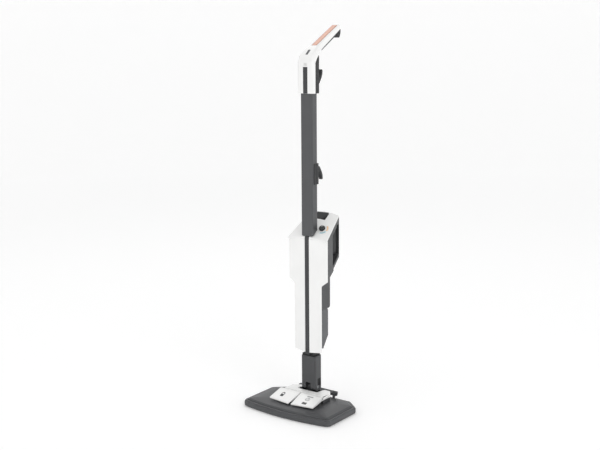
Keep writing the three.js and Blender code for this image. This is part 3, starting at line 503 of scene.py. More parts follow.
def set_inputs(node: bpy.types.Node, values: dict[str, object]) -> None:
    """Sets a node's inputs by their names."""
    for name, value in values.items():
        node.inputs[name].default_value = value


def add_node(tree: bpy.types.NodeTree, kind: str, values: dict | None = None,
             links: dict | None = None, **settings: object) -> bpy.types.Node:
    """Adds a node with its settings, values and links.

    Args:
        tree: The node tree.
        kind: The node's type.
        values: Input name to value.
        links: Input name to (node, output name).
        settings: The node's own properties.

    Returns:
        The node.
    """
    node = tree.nodes.new(kind)
    for name, value in settings.items():
        setattr(node, name, value)
    set_inputs(node, values or {})
    for name, (source, output) in (links or {}).items():
        tree.links.new(source.outputs[output], node.inputs[name])
    return node


@dataclass(frozen=True)
class Finish:
    """A surface: its shader values, a slow mottling of its colour and a fine relief.

    grain and relief are the spacing and the depth of the fine relief in mm; cloud is the size
    in mm of the mottling, and tone how far it moves the colour.
    """

    name: str
    slot: Slot
    colour: str
    roughness: float
    grain: float
    relief: float
    cloud: float = 60.0
    tone: float = 0.06
    swing: float = 0.06
    metallic: float = 0.0
    ior: float = 1.5
    coat: float = 0.0
    stretch: Axis | None = None

    def material(self) -> bpy.types.Material:
        """The Blender material, made once.

        Returns:
            The material.
        """
        known = bpy.data.materials.get(self.name)
        if known:
            return known
        material = bpy.data.materials.new(self.name)
        material.use_nodes = True
        tree = material.node_tree
        shader = tree.nodes["Principled BSDF"]
        set_inputs(shader, {"Metallic": self.metallic, "Coat Weight": self.coat})
        if not self.metallic:
            set_inputs(shader, {"IOR": self.ior})
        place = add_node(tree, "ShaderNodeTexCoord")
        clouds = add_node(tree, "ShaderNodeTexNoise",
                          {"Scale": 1 / (self.cloud * MM), "Detail": 3.0},
                          {"Vector": (place, "Object")})
        base = linear(self.colour)
        ramp = add_node(tree, "ShaderNodeValToRGB", links={"Fac": (clouds, "Fac")})
        for stop, position, change in zip(ramp.color_ramp.elements, (0.35, 0.65), (-1, 1)):
            stop.position = position
            stop.color = [min(c * (1 + change * self.tone), 1) for c in base[:3]] + [1]
        tree.links.new(ramp.outputs["Color"], shader.inputs["Base Color"])
        gloss = add_node(tree, "ShaderNodeMapRange", {
            "From Min": 0.3, "From Max": 0.7, "To Min": self.roughness - self.swing / 2,
            "To Max": self.roughness + self.swing / 2}, {"Value": (clouds, "Fac")})
        tree.links.new(gloss.outputs["Result"], shader.inputs["Roughness"])
        height = self._height(tree, place)
        bump = add_node(tree, "ShaderNodeBump", {"Strength": 1.0, "Distance": self.relief * MM},
                        {"Height": height})
        tree.links.new(bump.outputs["Normal"], shader.inputs["Normal"])
        return material

    def _height(self, tree: bpy.types.NodeTree, place: bpy.types.Node) -> Output:
        """The fine relief.

        Args:
            tree: The node tree.
            place: The texture coordinate node.

        Returns:
            The node and the output that give the height.
        """
        source, output = place, "Object"
        if self.stretch:
            squeeze = [1.0 if part == 0.0 else 0.03 for part in self.stretch.value]
            source = add_node(tree, "ShaderNodeMapping", {"Scale": squeeze},
                              {"Vector": (place, "Object")})
            output = "Vector"
        grain = add_node(tree, "ShaderNodeTexNoise",
                         {"Scale": 1 / (self.grain * MM), "Detail": 2.0},
                         {"Vector": (source, output)})
        return grain, "Fac"


@dataclass(frozen=True)
class SparkTexture(Finish):
    """Plastic from a spark-eroded mould: closely packed shallow pits that spread the light."""

    def _height(self, tree: bpy.types.NodeTree, place: bpy.types.Node) -> Output:
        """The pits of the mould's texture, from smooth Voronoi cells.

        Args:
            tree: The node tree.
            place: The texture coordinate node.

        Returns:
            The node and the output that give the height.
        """
        pits = add_node(tree, "ShaderNodeTexVoronoi", {"Scale": 1 / (self.grain * MM)},
                        {"Vector": (place, "Object")}, feature="SMOOTH_F1")
        return pits, "Distance"


class Finishes:
    """The finishes of this mop."""

    # Polished injection-moulded ABS: bright, with soft broad highlights and a faint ripple.
    white = Finish("gloss_white_abs", Slot.WHITE, "F4F4F3", 0.24, 9.0, 0.01, tone=0.012,
                   coat=0.25, ior=1.54)
    # ABS with a plain satin mould finish, for small switches and indicators.
    pale = Finish("satin_white_abs", Slot.PALE, "DADBD9", 0.42, 0.8, 0.01, tone=0.02,
                  ior=1.54)
    # Polypropylene from a spark-eroded mould. The real 0.2 mm grain is drawn at 0.7 mm to show.
    charcoal = SparkTexture("moulded_charcoal_pp", Slot.CHARCOAL, "434446", 0.38, 0.7, 0.03,
                            ior=1.49)
    # The same, a shade deeper, on the spine, the strip and the rear pedal.
    dark = SparkTexture("moulded_dark_pp", Slot.DARK, "37383A", 0.46, 0.7, 0.03, ior=1.49)
    # Glass-filled nylon: near black, matt, with a fine even grain drawn at 0.6 mm.
    black = SparkTexture("textured_black_nylon", Slot.BLACK, "232426", 0.48, 0.6, 0.03, ior=1.53)
    # Polyester powder coat on aluminium: satin, with the orange peel of baked powder.
    tube = Finish("powder_coated_aluminium", Slot.TUBE, "48494B", 0.36, 1.6, 0.02, tone=0.03,
                  coat=0.15, ior=1.52)
    # Copper-toned vacuum metallising under lacquer: a warm satin sheen.
    copper = Finish("metallised_copper_trim", Slot.COPPER, "B07F69", 0.26, 0.5, 0.006,
                    metallic=0.9, coat=0.6, cloud=25.0, stretch=Axis.Y)
    # Ground steel for pins, springs and screws: fine lines along the part.
    steel = Finish("ground_steel", Slot.STEEL, "A9ABAD", 0.3, 0.4, 0.008, metallic=1.0,
                   stretch=Axis.X)
    # Silicone and EPDM rubber: dull, slightly dusty black.
    rubber = Finish("epdm_rubber", Slot.RUBBER, "1B1B1D", 0.72, 1.1, 0.02, tone=0.12, ior=1.52)
    # Smoked polycarbonate, dark enough to hide the water: glossy, with faint flow ripples.
    smoked = Finish("smoked_polycarbonate", Slot.SMOKED, "4A4C4F", 0.2, 12.0, 0.01, tone=0.03,
                    ior=1.585, coat=0.2)
    # Hard-coated acrylic over a black screen.
    display = Finish("black_acrylic_window", Slot.DISPLAY, "07080A", 0.06, 14.0, 0.004,
                     tone=0.02, ior=1.49, coat=0.5)
    # Grey-tinted acrylic over the lamps at the bend.
    smoked_lens = Finish("grey_acrylic_lens", Slot.BLACK, "5E6062", 0.14, 12.0, 0.006, tone=0.03,
                         ior=1.49, coat=0.3)
    # Machined brass fittings.
    brass = Finish("machined_brass", Slot.BRASS, "B6945A", 0.32, 0.5, 0.01, metallic=1.0,
                   stretch=Axis.X)
    # Solder-masked glass-epoxy board.
    laminate = Finish("solder_masked_laminate", Slot.LAMINATE, "1E5A3B", 0.4, 2.2, 0.02,
                      tone=0.1, ior=1.55)
    # Pad-printed inks: flat, dry, a little uneven at the edge of each mark.
    ink_dark = Finish("dark_pad_ink", Slot.DARK, "3A3B3D", 0.55, 0.9, 0.006, tone=0.1)
    ink_grey = Finish("grey_pad_ink", Slot.PALE, "8F9193", 0.55, 0.9, 0.006, tone=0.06)
    ink_orange = Finish("orange_pad_ink", Slot.PALE, "F2C79A", 0.5, 0.9, 0.006, tone=0.05)
    ink_teal = Finish("teal_pad_ink", Slot.PALE, "A9CDD6", 0.5, 0.9, 0.006, tone=0.05)


def near(value: float, target: float, within: float) -> bool:
    """Whether a value is within a distance of a target."""
    return abs(value - target) <= within


def lies_along(edge: EdgeFacts, axis: Axis, least: float = 0.97) -> bool:
    """Whether an edge runs along an axis."""
    return abs(edge.along.dot(Vector(axis.value))) > least


def node_box(node: str) -> tuple[Vector, Vector]:
    """The lowest and the highest corner of a CAD node, mm."""
    low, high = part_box(node)
    return low / MM, high / MM


def plain(node: str, radius: float, piece: str, finish: Finish, body: str,
          segments: int = 2) -> None:
    """Dresses a CAD node as it is, with its edges broken.

    Args:
        node: The CAD node.
        radius: Width of the edge radius, mm.
        piece: The piece's name.
        finish: Its finish.
        body: The CAD body it moves with.
        segments: Steps across the radius.
    """
    Shape.of_node(node).soften(radius, segments).dress(piece, finish, body)


def ring_of(count: int, radius: float, start: Callable[[float, float], Shape]) -> Shape:
    """Copies of a shape round a circle, as one mesh.

    Args:
        count: How many.
        radius: The circle's radius, mm.
        start: Makes the shape at two coordinates on the circle.

    Returns:
        The joined shape.
    """
    turns = [2 * math.pi * i / count for i in range(count)]
    shapes = [start(radius * math.cos(turn), radius * math.sin(turn)) for turn in turns]
    return shapes[0].join(*shapes[1:])


def cross_head(name: str, radius: float, spot: Point, depth: float, slot: float) -> Shape:
    """A screw head that looks towards +Y, with a cross recess.

    Args:
        name: The shape's name.
        radius: The head's radius, mm.
        spot: Middle of its rear face, mm.
        depth: Its thickness, mm.
        slot: Half the width of a slot, mm.

    Returns:
        The head, its edges broken.
    """
    x, y, z = spot
    front, reach, floor = y + depth, radius - 1.0, y + depth - 0.6
    head = Shape.rod(name, radius, (x, y, z), (x, front, z), 32)
    cross = Shape.block("cross", (x - reach, floor, z - slot), (x + reach, front + 1.6, z + slot))
    arm = Shape.block("arm", (x - slot, floor, z - reach), (x + slot, front + 1.6, z + reach))
    return head.cut(cross, arm).soften(0.12, 1)


def long_edge(axis: Axis, least: float, fold: float = 25.0) -> EdgeTest:
    """A test for the long folded edges that run along an axis.

    Args:
        axis: The direction.
        least: Shortest edge taken, mm.
        fold: Least fold, degrees.

    Returns:
        The test.
    """
    return lambda edge: lies_along(edge, axis) and edge.length > least and edge.fold > fold


# ---- floor head
@dataclass
class FloorHead:
    """The wide head on the floor: sole, bumper base, deck and the steam duct inside."""

    rim_radius: float = 1.3
    rim_z: float = 20.0
    ridge_z: float = 24.5

    def build(self) -> None:
        """Models and dresses the head."""
        self._base()
        self._deck()
        self._below()

    def _base(self) -> None:
        """The bumper base with its rolled rim."""
        base = Shape.of_node("head_base")
        base.bevel(lambda e: near(e.mid.z, self.rim_z, 0.4) and e.fold > 60, 1.8, 3)
        base.soften(self.rim_radius, 2, 16)
        base.dress("bumper_base", Finishes.charcoal, "floor_head")

    def _deck(self) -> None:
        """The deck: a soft shoulder and a rounded ridge parallel to its edge."""
        deck = Shape.of_node("head_top")
        deck.bevel(lambda e: near(e.mid.z, self.rim_z + 0.6, 0.3) and e.fold > 30, 1.6, 3)
        deck.bevel(lambda e: near(e.mid.z, self.ridge_z, 0.5) and e.fold > 12, 1.4, 3)
        deck.soften(0.6, 2, 30)
        deck.dress("deck", Finishes.charcoal, "floor_head")

    def _below(self) -> None:
        """The sole plate, the duct and hose above it, and the slotted screws."""
        plain("sole_plate", 0.8, "glide_sole", Finishes.dark, "floor_head")
        plain("steam_manifold", 0.8, "steam_duct", Finishes.black, "floor_head")
        plain("manifold_hose", 0.3, "duct_hose", Finishes.rubber, "floor_head")
        for number in range(1, 5):
            node = f"sole_screw_{number}"
            low, high = node_box(node)
            middle = (low + high) * 0.5
            across = Vector((0.6 * (high.x - low.x), 0.4, 0))
            middle.z = 0.3
            slot = Shape.block("slot", middle - across, middle + across + Vector((0, 0, 0.9)))
            screw = Shape.of_node(node).cut(slot).soften(0.15, 1)
            screw.dress(f"base_screw_{number}", Finishes.steel, "floor_head")


# ---- foot pedals
@dataclass
class FootPedals:
    """The two white foot pedals with marks, pin and springs, their cover, and the rear pedal."""

    slope: float = 17.35
    front_y: float = -107.0
    front_z: float = 34.1
    panel_sink: float = 0.5
    mark_lift: float = 0.28
    gap_flare: float = 0.045
    wire: float = 0.75

    def build(self) -> None:
        """Models and dresses the pedals."""
        for side in ("left", "right"):
            self._pedal(side)
        self._marks()
        self._cover()
        self._rear_pedal()
        plain("pedal_pin", 0.4, "pedal_shaft", Finishes.steel, "floor_head")
        plain("rear_pedal_pin", 0.4, "rear_shaft", Finishes.steel, "floor_head")
        for side in ("left", "right"):
            self._spring(f"{side}_pedal_spring")

    def _spring(self, node: str) -> None:
        """A torsion spring with real turns in the place of a plain sleeve.

        Args:
            node: The CAD node of the spring.
        """
        low, high = node_box(node)
        middle = (low + high) * 0.5
        wire = self.wire
        radius = (high.z - low.z) * 0.5 - wire - 0.1
        turns = int((high.x - low.x) / (2 * wire + 0.12))
        pitch = (high.x - low.x - 2 * wire) / (turns - 1)
        coil = Shape.hoop("turn", radius, wire, 32)
        facing = Matrix.Rotation(math.radians(90), 4, "Y")
        first = Matrix.Translation((low.x + wire, middle.y, middle.z))
        coil.place(first @ facing).row(turns, (pitch, 0, 0)).pick()
        bpy.ops.object.shade_smooth()
        coil.dress(f"{node}_wire", Finishes.steel, "floor_head", node)

    def _top(self, x: float, y: float, lift: float) -> Matrix:
        """A place on the pedals' sloping top.

        Args:
            x: Across, mm.
            y: Along, mm.
            lift: Height above the surface, mm.

        Returns:
            The place, its Z square to the surface.
        """
        rise = math.tan(math.radians(self.slope)) * (y - self.front_y + 1)
        spot = Matrix.Translation((x, y, self.front_z + rise))
        lean = Matrix.Rotation(math.radians(self.slope), 4, "X")
        return spot @ lean @ Matrix.Translation((0, 0, lift))

    def _pedal(self, side: str) -> None:
        """One pedal: a rounded plate with a sunk panel, its gap to the other widening forwards.

        Args:
            side: left or right.
        """
        pedal = Shape.of_node(f"{side}_pedal")
        sign = -1 if side == "left" else 1
        pedal.clip((sign * 2.1, -46, 0), (-sign, -self.gap_flare, 0))
        pedal.bevel(lambda e: e.fold > 40 and e.length > 22 and e.mid.y < -55 and e.mid.z > 32.5,
                    1.6, 3)
        panel = Shape.block("panel", (sign * 9, -40, -self.panel_sink), (sign * 90, 24, 6))
        panel.clip((sign * 2, -23, 0), (sign * 0.105, -1, 0))
        panel.clip((sign * 76, 0, 0), (sign, 0.06, 0))
        pedal.cut(panel.place(self._top(0, -80, 0))).soften(0.25)
        pedal.dress(f"{side}_foot_pedal", Finishes.white, f"{side}_pedal")

    def _marks(self) -> None:
        """A lock mark on the left pedal, and a ring, a bar and the window on the right."""
        lift = self.mark_lift - self.panel_sink
        body = Shape.block("lock_body", (-4.0, -8.5, -0.3), (4.0, -1.0, 0.2))
        body.bevel(lambda e: lies_along(e, Axis.Z, 0.9), 1.2, 3)
        shackle = Shape.hoop("lock_shackle", 3.6, 0.9, 32).clip((0, -0.5, 0), (0, -1, 0))
        body.join(shackle.place(Matrix.Diagonal((1, 1.5, 0.3, 1))))
        larger = Matrix.Diagonal((1.35, 1.35, 1, 1))
        body.place(self._top(-49, -74, lift) @ larger).soften(0.08, 1)
        body.dress("lock_mark", Finishes.ink_dark, "left_pedal")
        ring = Shape.hoop("mode_ring", 6.8, 0.8).place(Matrix.Diagonal((1, 1, 0.4, 1)))
        for turn in (90, 210, 330):
            x, y = 3.0 * math.cos(math.radians(turn)), 3.0 * math.sin(math.radians(turn))
            ring.join(Shape.rod("mode_dot", 1.3, (x, y, -0.2), (x, y, 0.2), 16))
        ring.place(self._top(42, -72, lift)).soften(0.05, 1)
        ring.dress("mode_mark", Finishes.ink_grey, "right_pedal")
        bar = Shape.block("bar", (-11, -1.6, -0.3), (11, 1.6, 0.2))
        bar.bevel(lambda e: lies_along(e, Axis.Z, 0.9), 1.4, 4)
        bar.place(self._top(43, -59.5, lift)).soften(0.08, 1)
        bar.dress("mode_bar", Finishes.ink_grey, "right_pedal")
        plain("mode_window", 0.5, "mode_lens", Finishes.display, "right_pedal", 3)

    def _cover(self) -> None:
        """The white cover over the pedals' hinge, and a dark boss under each raised end."""
        cover = Shape.of_node("centre_cover")
        cover.bevel(lambda e: e.fold > 30 and e.length > 15 and e.mid.z > 40, 3.2, 4)
        cover.soften(0.6, 2, 28)
        cover.dress("hinge_cover", Finishes.white, "floor_head")
        for side, sign in (("left", -1), ("right", 1)):
            boss = Shape.block("boss", (sign * 58.0, -36.5, 28.4), (sign * 73.4, 20, 50))
            boss.clip((sign * 61.6, 0, 27.0), (-sign * 20.0, 0, 24.0))
            boss.clip((sign * 72.6, 0, 0), (sign * 28.0, 20.0, 0)).soften(0.5)
            boss.dress(f"{side}_hinge_boss", Finishes.charcoal, "floor_head")

    def _rear_pedal(self) -> None:
        """The rear release pedal with a ribbed tread."""
        top = node_box("rear_pedal")[1].z
        pedal = Shape.of_node("rear_pedal").bevel(long_edge(Axis.X, 30), 1.8, 3)
        grooves = Shape.block("groove", (-48, 37, top - 0.8), (48, 38.2, top + 2))
        pedal.cut(grooves.row(4, (0, 2.9, 0))).soften(0.35)
        pedal.dress("release_pedal", Finishes.dark, "rear_pedal")


# ---- neck
@dataclass
class NeckJoint:
    """The swivelling, tilting joint and the hollow neck above it."""

    groove_y: float = -8.6
    groove_width: float = 1.3
    groove_depth: float = 0.9

    def build(self) -> None:
        """Models and dresses the neck."""
        plain("swivel_bracket", 0.5, "swivel_ears", Finishes.black, "floor_head")
        plain("swivel_pin", 0.35, "swivel_shaft", Finishes.steel, "floor_head")
        plain("yoke", 0.7, "joint_yoke", Finishes.black, "yoke", 3)
        plain("tilt_pin", 0.4, "tilt_shaft", Finishes.steel, "yoke")
        self._housing()
        self._seal()

    def _housing(self) -> None:
        """The neck: a groove between its front and each side, and a grille in its recess."""
        low, high = node_box("neck_housing")
        housing = Shape.of_node("neck_housing")
        start, end = self.groove_y, self.groove_y + self.groove_width
        for sign in (-1, 1):
            floor, side = sign * (high.x - self.groove_depth), sign * (high.x + 1)
            housing.cut(Shape.block("groove", (floor, start, low.z - 2), (side, end, high.z + 2)))
        housing.cut(Shape.block("ledge", (-17, low.y - 1, 148), (17, low.y + 0.5, 149.2)))
        housing.soften(0.5).dress("neck_column", Finishes.charcoal, "mast")
        insert = Shape.block("insert", (21.6, 3.4, 60.6), (22.6, 20.6, 84.4))
        slats = Shape.block("slat", (22.2, 4.6, 63), (24, 19.4, 64.4)).row(7, (0, 0, 3))
        insert.cut(slats).soften(0.15, 1).dress("recess_grille", Finishes.rubber, "mast")

    def _seal(self) -> None:
        """The rubber seal with two grooves round it."""
        seal = Shape.of_node("neck_seal")
        low, high = node_box("neck_seal")
        for z in (low.z + 1.6, low.z + 3.6):
            outer = Shape.block("outer", (low.x - 1, low.y - 1, z),
                                (high.x + 1, high.y + 1, z + 0.8))
            core = Shape.block("core", (low.x + 0.7, low.y + 0.7, z - 1),
                               (high.x - 0.7, high.y - 0.7, z + 2))
            seal.cut(outer.cut(core))
        seal.soften(0.2, 1).dress("neck_gasket", Finishes.rubber, "mast")


# ---- spine and tube
@dataclass
class SpineAndTube:
    """The spine that the portable unit docks on, the steam pipe in it and the tube above."""

    clamp_half: float = 23.4

    def build(self) -> None:
        """Models and dresses the spine, the pipe, the tube and the lower cable hook."""
        spine = Shape.of_node("spine")
        spine.bevel(lambda e: lies_along(e, Axis.Z) and e.mid.y < -12 and e.length > 50, 1.2, 3)
        spine.soften(0.4).dress("dock_spine", Finishes.dark, "mast")
        plain("steam_pipe", 0.2, "steam_line", Finishes.steel, "mast")
        plain("steam_receiver", 0.4, "steam_socket", Finishes.rubber, "mast")
        tube = Shape.of_node("main_tube").bevel(long_edge(Axis.Z, 50, 30), 0.9, 3)
        tube.soften(0.35).dress("square_tube", Finishes.tube, "mast")
        plain("control_rod", 0.5, "push_rod", Finishes.pale, "control_rod")
        self._lower_hook()

    def _lower_hook(self) -> None:
        """The clamp on the tube with the lower cable hook and a split line on each side."""
        hook = Shape.of_node("lower_cable_hook")
        hook.bevel(lambda e: lies_along(e, Axis.X) and e.mid.y > 20 and e.fold > 14, 1.6, 3)
        for x in (-self.clamp_half, self.clamp_half):
            hook.cut(Shape.block("seam", (x - 0.6, 4, 680), (x + 0.6, 4.9, 750)))
        hook.soften(0.6).dress("lower_hook", Finishes.black, "mast")


# ---- handle
@dataclass
class GripHandle:
    """The bent handle: white shell, black back, copper inlay, trigger and upper cable hook."""

    screw_heights: tuple[float, float] = (962.0, 1030.0)
    bend: tuple[float, float] = (1040.0, 1100.0)

    def build(self) -> None:
        """Models and dresses the handle."""
        self._front_shell()
        self._rear_shell()
        self._trims()
        self._trigger()
        self._hook()

    def _front_shell(self) -> None:
        """The white shell with its bend smoothed."""
        shell = Shape.of_node("handle_front_shell")
        across = long_edge(Axis.X, 20, 12)
        shell.bevel(lambda e: across(e) and self.bend[0] < e.mid.z < self.bend[1], 4.0, 4)
        shell.soften(0.9, 3, 24)
        shell.dress("grip_shell", Finishes.white, "mast")

    def _rear_shell(self) -> None:
        """The black back with two screws in their recesses."""
        back = Shape.of_node("handle_rear_shell")
        for z in self.screw_heights:
            back.cut(Shape.rod("recess", 3.4, (0, 14.2, z), (0, 22, z), 32))
        back.soften(0.7, 2, 24)
        back.dress("grip_back", Finishes.black, "mast")
        for number, z in enumerate(self.screw_heights, 1):
            head = cross_head(f"head_{number}", 2.7, (0, 13.4, z), 1.4, 0.35)
            head.dress(f"back_screw_{number}", Finishes.steel, "mast")

    def _trims(self) -> None:
        """The copper inlay, the collar strip, the indicator and the lens at the bend."""
        inlay = Shape.of_node("grip_inlay")
        inlay.bevel(lambda e: abs(e.along.y) > 0.8 and e.length > 60 and e.mid.z > 1116, 1.9, 4)
        inlay.bevel(lambda e: near(e.length, 2.0, 0.4), 2.6, 5)
        inlay.soften(0.4, 3).dress("copper_inlay", Finishes.copper, "mast")
        strip = Shape.of_node("collar_strip")
        low, high = node_box("collar_strip")
        lines = [Shape.block("line", (x0, low.y - 1, low.z + 4), (x1, low.y + depth, high.z - 4))
                 for x0, x1, depth in ((-0.5, 0.5, 0.4), (-5.2, -4.6, 0.3), (4.6, 5.2, 0.3))]
        strip.cut(lines[0].join(*lines[1:]))
        strip.soften(0.25).dress("collar_panel", Finishes.dark, "mast")
        plain("status_indicator", 0.35, "status_light", Finishes.pale, "mast")
        lens = Shape.of_node("bend_lens")
        lens.bevel(lambda e: near(e.length, 2.4, 0.2), 3.0, 6)
        lens.soften(0.4).dress("status_lens", Finishes.smoked_lens, "mast")

    def _trigger(self) -> None:
        """The long steam trigger, its pin and spring, the switch and the end cap."""
        trigger = Shape.of_node("steam_trigger")
        trigger.bevel(lambda e: lies_along(e, Axis.Y, 0.7) and e.length > 40 and e.mid.z < 1125,
                      1.6, 3)
        trigger.soften(0.5).dress("steam_lever", Finishes.black, "steam_trigger")
        plain("trigger_pin", 0.3, "lever_shaft", Finishes.steel, "mast")
        plain("trigger_spring", 0.2, "lever_spring", Finishes.steel, "mast")
        plain("trigger_switch", 0.4, "lever_switch", Finishes.pale, "mast")
        cap = Shape.of_node("grip_end_cap")
        across = long_edge(Axis.X, 20, 12)
        cap.bevel(lambda e: across(e) and e.mid.y > 128, 2.0, 3)
        cap.soften(0.6).dress("grip_end", Finishes.black, "mast")

    def _hook(self) -> None:
        """The upper cable hook that swivels to drop the wound cable."""
        hook = Shape.of_node("upper_cable_hook")
        hook.bevel(lambda e: lies_along(e, Axis.X) and e.mid.y > 21 and e.fold > 14, 1.6, 3)
        hook.soften(0.7).dress("upper_hook", Finishes.black, "upper_cable_hook")


# ---- portable unit
@dataclass
class PortableUnit:
    """The steam unit on the spine: white front and top, charcoal casing with a carrying loop."""

    top_z: float = 521.3
    corner_y: float = -9.2
    half: float = 70.65
    rake: float = 0.72
    crown: float = 8.0
    crown_fold: float = 0.6
    taper: float = 0.19
    vent_count: int = 7
    knob_spot: tuple[float, float] = (33.0, 20.0)
    screw_x: float = 34.0
    screw_heights: tuple[float, float] = (318.0, 388.0)
    level_heights: tuple[float, ...] = (214.0, 236.0, 258.0, 280.0)

    def build(self) -> None:
        """Models and dresses the unit."""
        self._fronts()
        self._top()
        self._casing()
        self._screws()
        self._button()
        self._knob()
        self._marks()
        self._tank()
        self._cap()
        self._inside()

    def _on_top(self, x: float, y: float, lift: float) -> Matrix:
        """A place on the crowned, sloping top.

        Args:
            x: Across, mm.
            y: Along, mm.
            lift: Height above the surface, mm.

        Returns:
            The place, its Z square to the surface.
        """
        wide = self.half - self.taper * (y - self.corner_y)
        part, gentle, steep = abs(x) / wide, self.crown_fold, 1 + self.crown_fold
        if part < self.crown_fold:
            rise, lean = self.crown * (1 - gentle * part), gentle * self.crown / wide
        else:
            rise, lean = self.crown * steep * (1 - part), steep * self.crown / wide
        z = self.top_z + self.rake * (y - self.corner_y) + rise
        slope = Matrix.Rotation(math.atan(self.rake), 4, "X")
        tilt = Matrix.Rotation(math.atan(lean) * math.copysign(1, x), 4, "Y")
        return Matrix.Translation((x, y, z)) @ slope @ tilt @ Matrix.Translation((0, 0, lift))

    def _fronts(self) -> None:
        """The two white front shells, their outer corner rolled."""
        for side in ("left", "right"):
            shell = Shape.of_node(f"front_shell_{side}")
            shell.bevel(lambda e: (near(e.mid.y, self.corner_y, 0.4) and abs(e.mid.x) > 45
                                   and e.fold > 30), 2.6, 4)
            shell.soften(0.6, 3, 24)
            shell.dress(f"front_panel_{side}", Finishes.white, "portable_unit")

    def _top(self) -> None:
        """The white top with its crown rounded over and its front edge rolled."""
        top = Shape.of_node("top_shell")
        top.bevel(lambda e: e.length > 50 and 7 < e.fold < 30 and abs(e.along.x) < 0.3, 5.0, 4)
        top.bevel(lambda e: e.fold > 20 and e.mid.y < -8 and e.length > 12, 2.4, 4)
        top.soften(0.7, 3, 24)
        top.dress("top_panel", Finishes.white, "portable_unit")

    def _casing(self) -> None:
        """The casing halves: vents and screw wells behind, the loop's bar cut back and grooved."""
        for side, sign in (("left", -1), ("right", 1)):
            casing = Shape.of_node(f"casing_{side}")
            vent = Shape.block("vent", (sign * 9, 33.4, 318), (sign * 27, 38, 320.2))
            casing.cut(vent.row(self.vent_count, (0, 0, 5.2)))
            wedge = Shape.block("wedge", (sign * 36, 60, 466), (sign * 62, 75.2, 557))
            casing.cut(wedge.clip((sign * 34.0, 66.4, 0), (-sign * 8.8, 22.0, 0)))
            groove = Shape.block("groove", (sign * 3, 75.1, 486), (sign * 34, 78, 487.4))
            casing.cut(groove.row(12, (0, 0, 4.4)))
            x = sign * self.screw_x
            for z in self.screw_heights:
                casing.cut(Shape.rod("well", 3.6, (x, 34.4, z), (x, 40, z), 32))
            casing.soften(0.9)
            casing.dress(f"casing_{side}_half", Finishes.charcoal, "portable_unit")

    def _screws(self) -> None:
        """The four casing screws, modelled once and copied."""
        screw = cross_head("casing_screw", 2.9, (0, 33.6, 0), 1.6, 0.4)
        spots = [(x, 0, z) for x in (-self.screw_x, self.screw_x) for z in self.screw_heights]
        screws = [screw.copy(f"casing_screw_{i}", spot) for i, spot in enumerate(spots[1:], 2)]
        screws.insert(0, screw.place(Matrix.Translation(spots[0])))
        for number, screw in enumerate(screws, 1):
            screw.dress(f"casing_screw_{number}", Finishes.steel, "portable_unit")

    def _button(self) -> None:
        """The release button and the latch it works."""
        plain("release_button", 0.9, "release_key", Finishes.black, "release_button", 3)
        plain("dock_latch", 0.4, "dock_catch", Finishes.black, "dock_latch")

    def _knob(self) -> None:
        """The steam knob: a fluted skirt, a dished crown, a stem and a pale pointer."""
        base = Matrix.Translation(self._on_top(*self.knob_spot, 0).translation)
        tilt = base @ Matrix.Rotation(math.atan(self.rake), 4, "X")
        knob = Shape.rod("steam_knob_skirt", 9.3, (0, 0, 0.8), (0, 0, 6.2), 72)
        knob.raise_faces(lambda f: f.normal.z > 0.9, 1.6, 0.9)
        knob.raise_faces(lambda f: f.normal.z > 0.9 and f.centre.z > 6.8, 0.5, 1.6)
        knob.raise_faces(lambda f: f.normal.z > 0.9 and f.centre.z > 8.2, 2.2, -0.5)
        knob.cut(ring_of(18, 9.9, lambda x, y: Shape.rod("flute", 1.1, (x, y, 0), (x, y, 7), 16)))
        knob.weld(Shape.rod("stem", 2.9, (0, 0, -15), (0, 0, 2), 32))
        knob.soften(0.25).place(tilt)
        knob.dress("steam_dial", Finishes.black, "steam_knob", "steam_knob")
        pointer = Shape.block("pointer", (-0.6, 1.6, 8.2), (0.6, 6.6, 8.95)).soften(0.2, 1)
        pointer.place(tilt).dress("dial_pointer", Finishes.pale, "steam_knob")

    def _marks(self) -> None:
        """The marks round the knob: a warm and a cool arc, and a ring of growing ticks."""
        for name, start, finish in (("warm", -12.0, Finishes.ink_orange),
                                    ("cool", -92.0, Finishes.ink_teal)):
            arc = Shape.hoop(f"{name}_arc", 16.5, 2.3, 72).place(Matrix.Diagonal((1, 1, 0.08, 1)))
            first, last = math.radians(start), math.radians(start + 68)
            arc.clip((0, 0, 0), (math.sin(first), -math.cos(first), 0))
            arc.clip((0, 0, 0), (-math.sin(last), math.cos(last), 0))
            arc.place(self._on_top(*self.knob_spot, 0.25)).soften(0.05, 1)
            arc.dress(f"{name}_mark", finish, "portable_unit")
        spot = self._on_top(*self.knob_spot, 0)
        ticks = []
        for i in range(9):
            tick = Shape.block(f"tick_{i}", (11.2, -0.35, -0.25), (12.8 + 0.14 * i, 0.35, 0.12))
            turn = Matrix.Rotation(math.radians(-60 - 30 * i), 4, "Z")
            ticks.append(tick.place(spot @ turn))
        scale = ticks[0].join(*ticks[1:]).soften(0.05, 1)
        scale.dress("dial_scale", Finishes.ink_grey, "portable_unit")

    def _tank(self) -> None:
        """The smoked water tank, with a short or a long mark at each level."""
        tank = Shape.of_node("water_tank")
        tank.bevel(lambda e: e.fold > 40 and e.length > 25 and e.mid.y > 15, 1.6, 3)
        tank.soften(0.6).dress("tank_body", Finishes.smoked, "water_tank")
        for number, z in enumerate(self.level_heights, 1):
            start = 28 if number % 2 else 22
            mark = Shape.block("level", (start, 26.7, z), (38, 27.25, z + 0.9)).soften(0.1, 1)
            mark.dress(f"level_mark_{number}", Finishes.ink_grey, "water_tank")

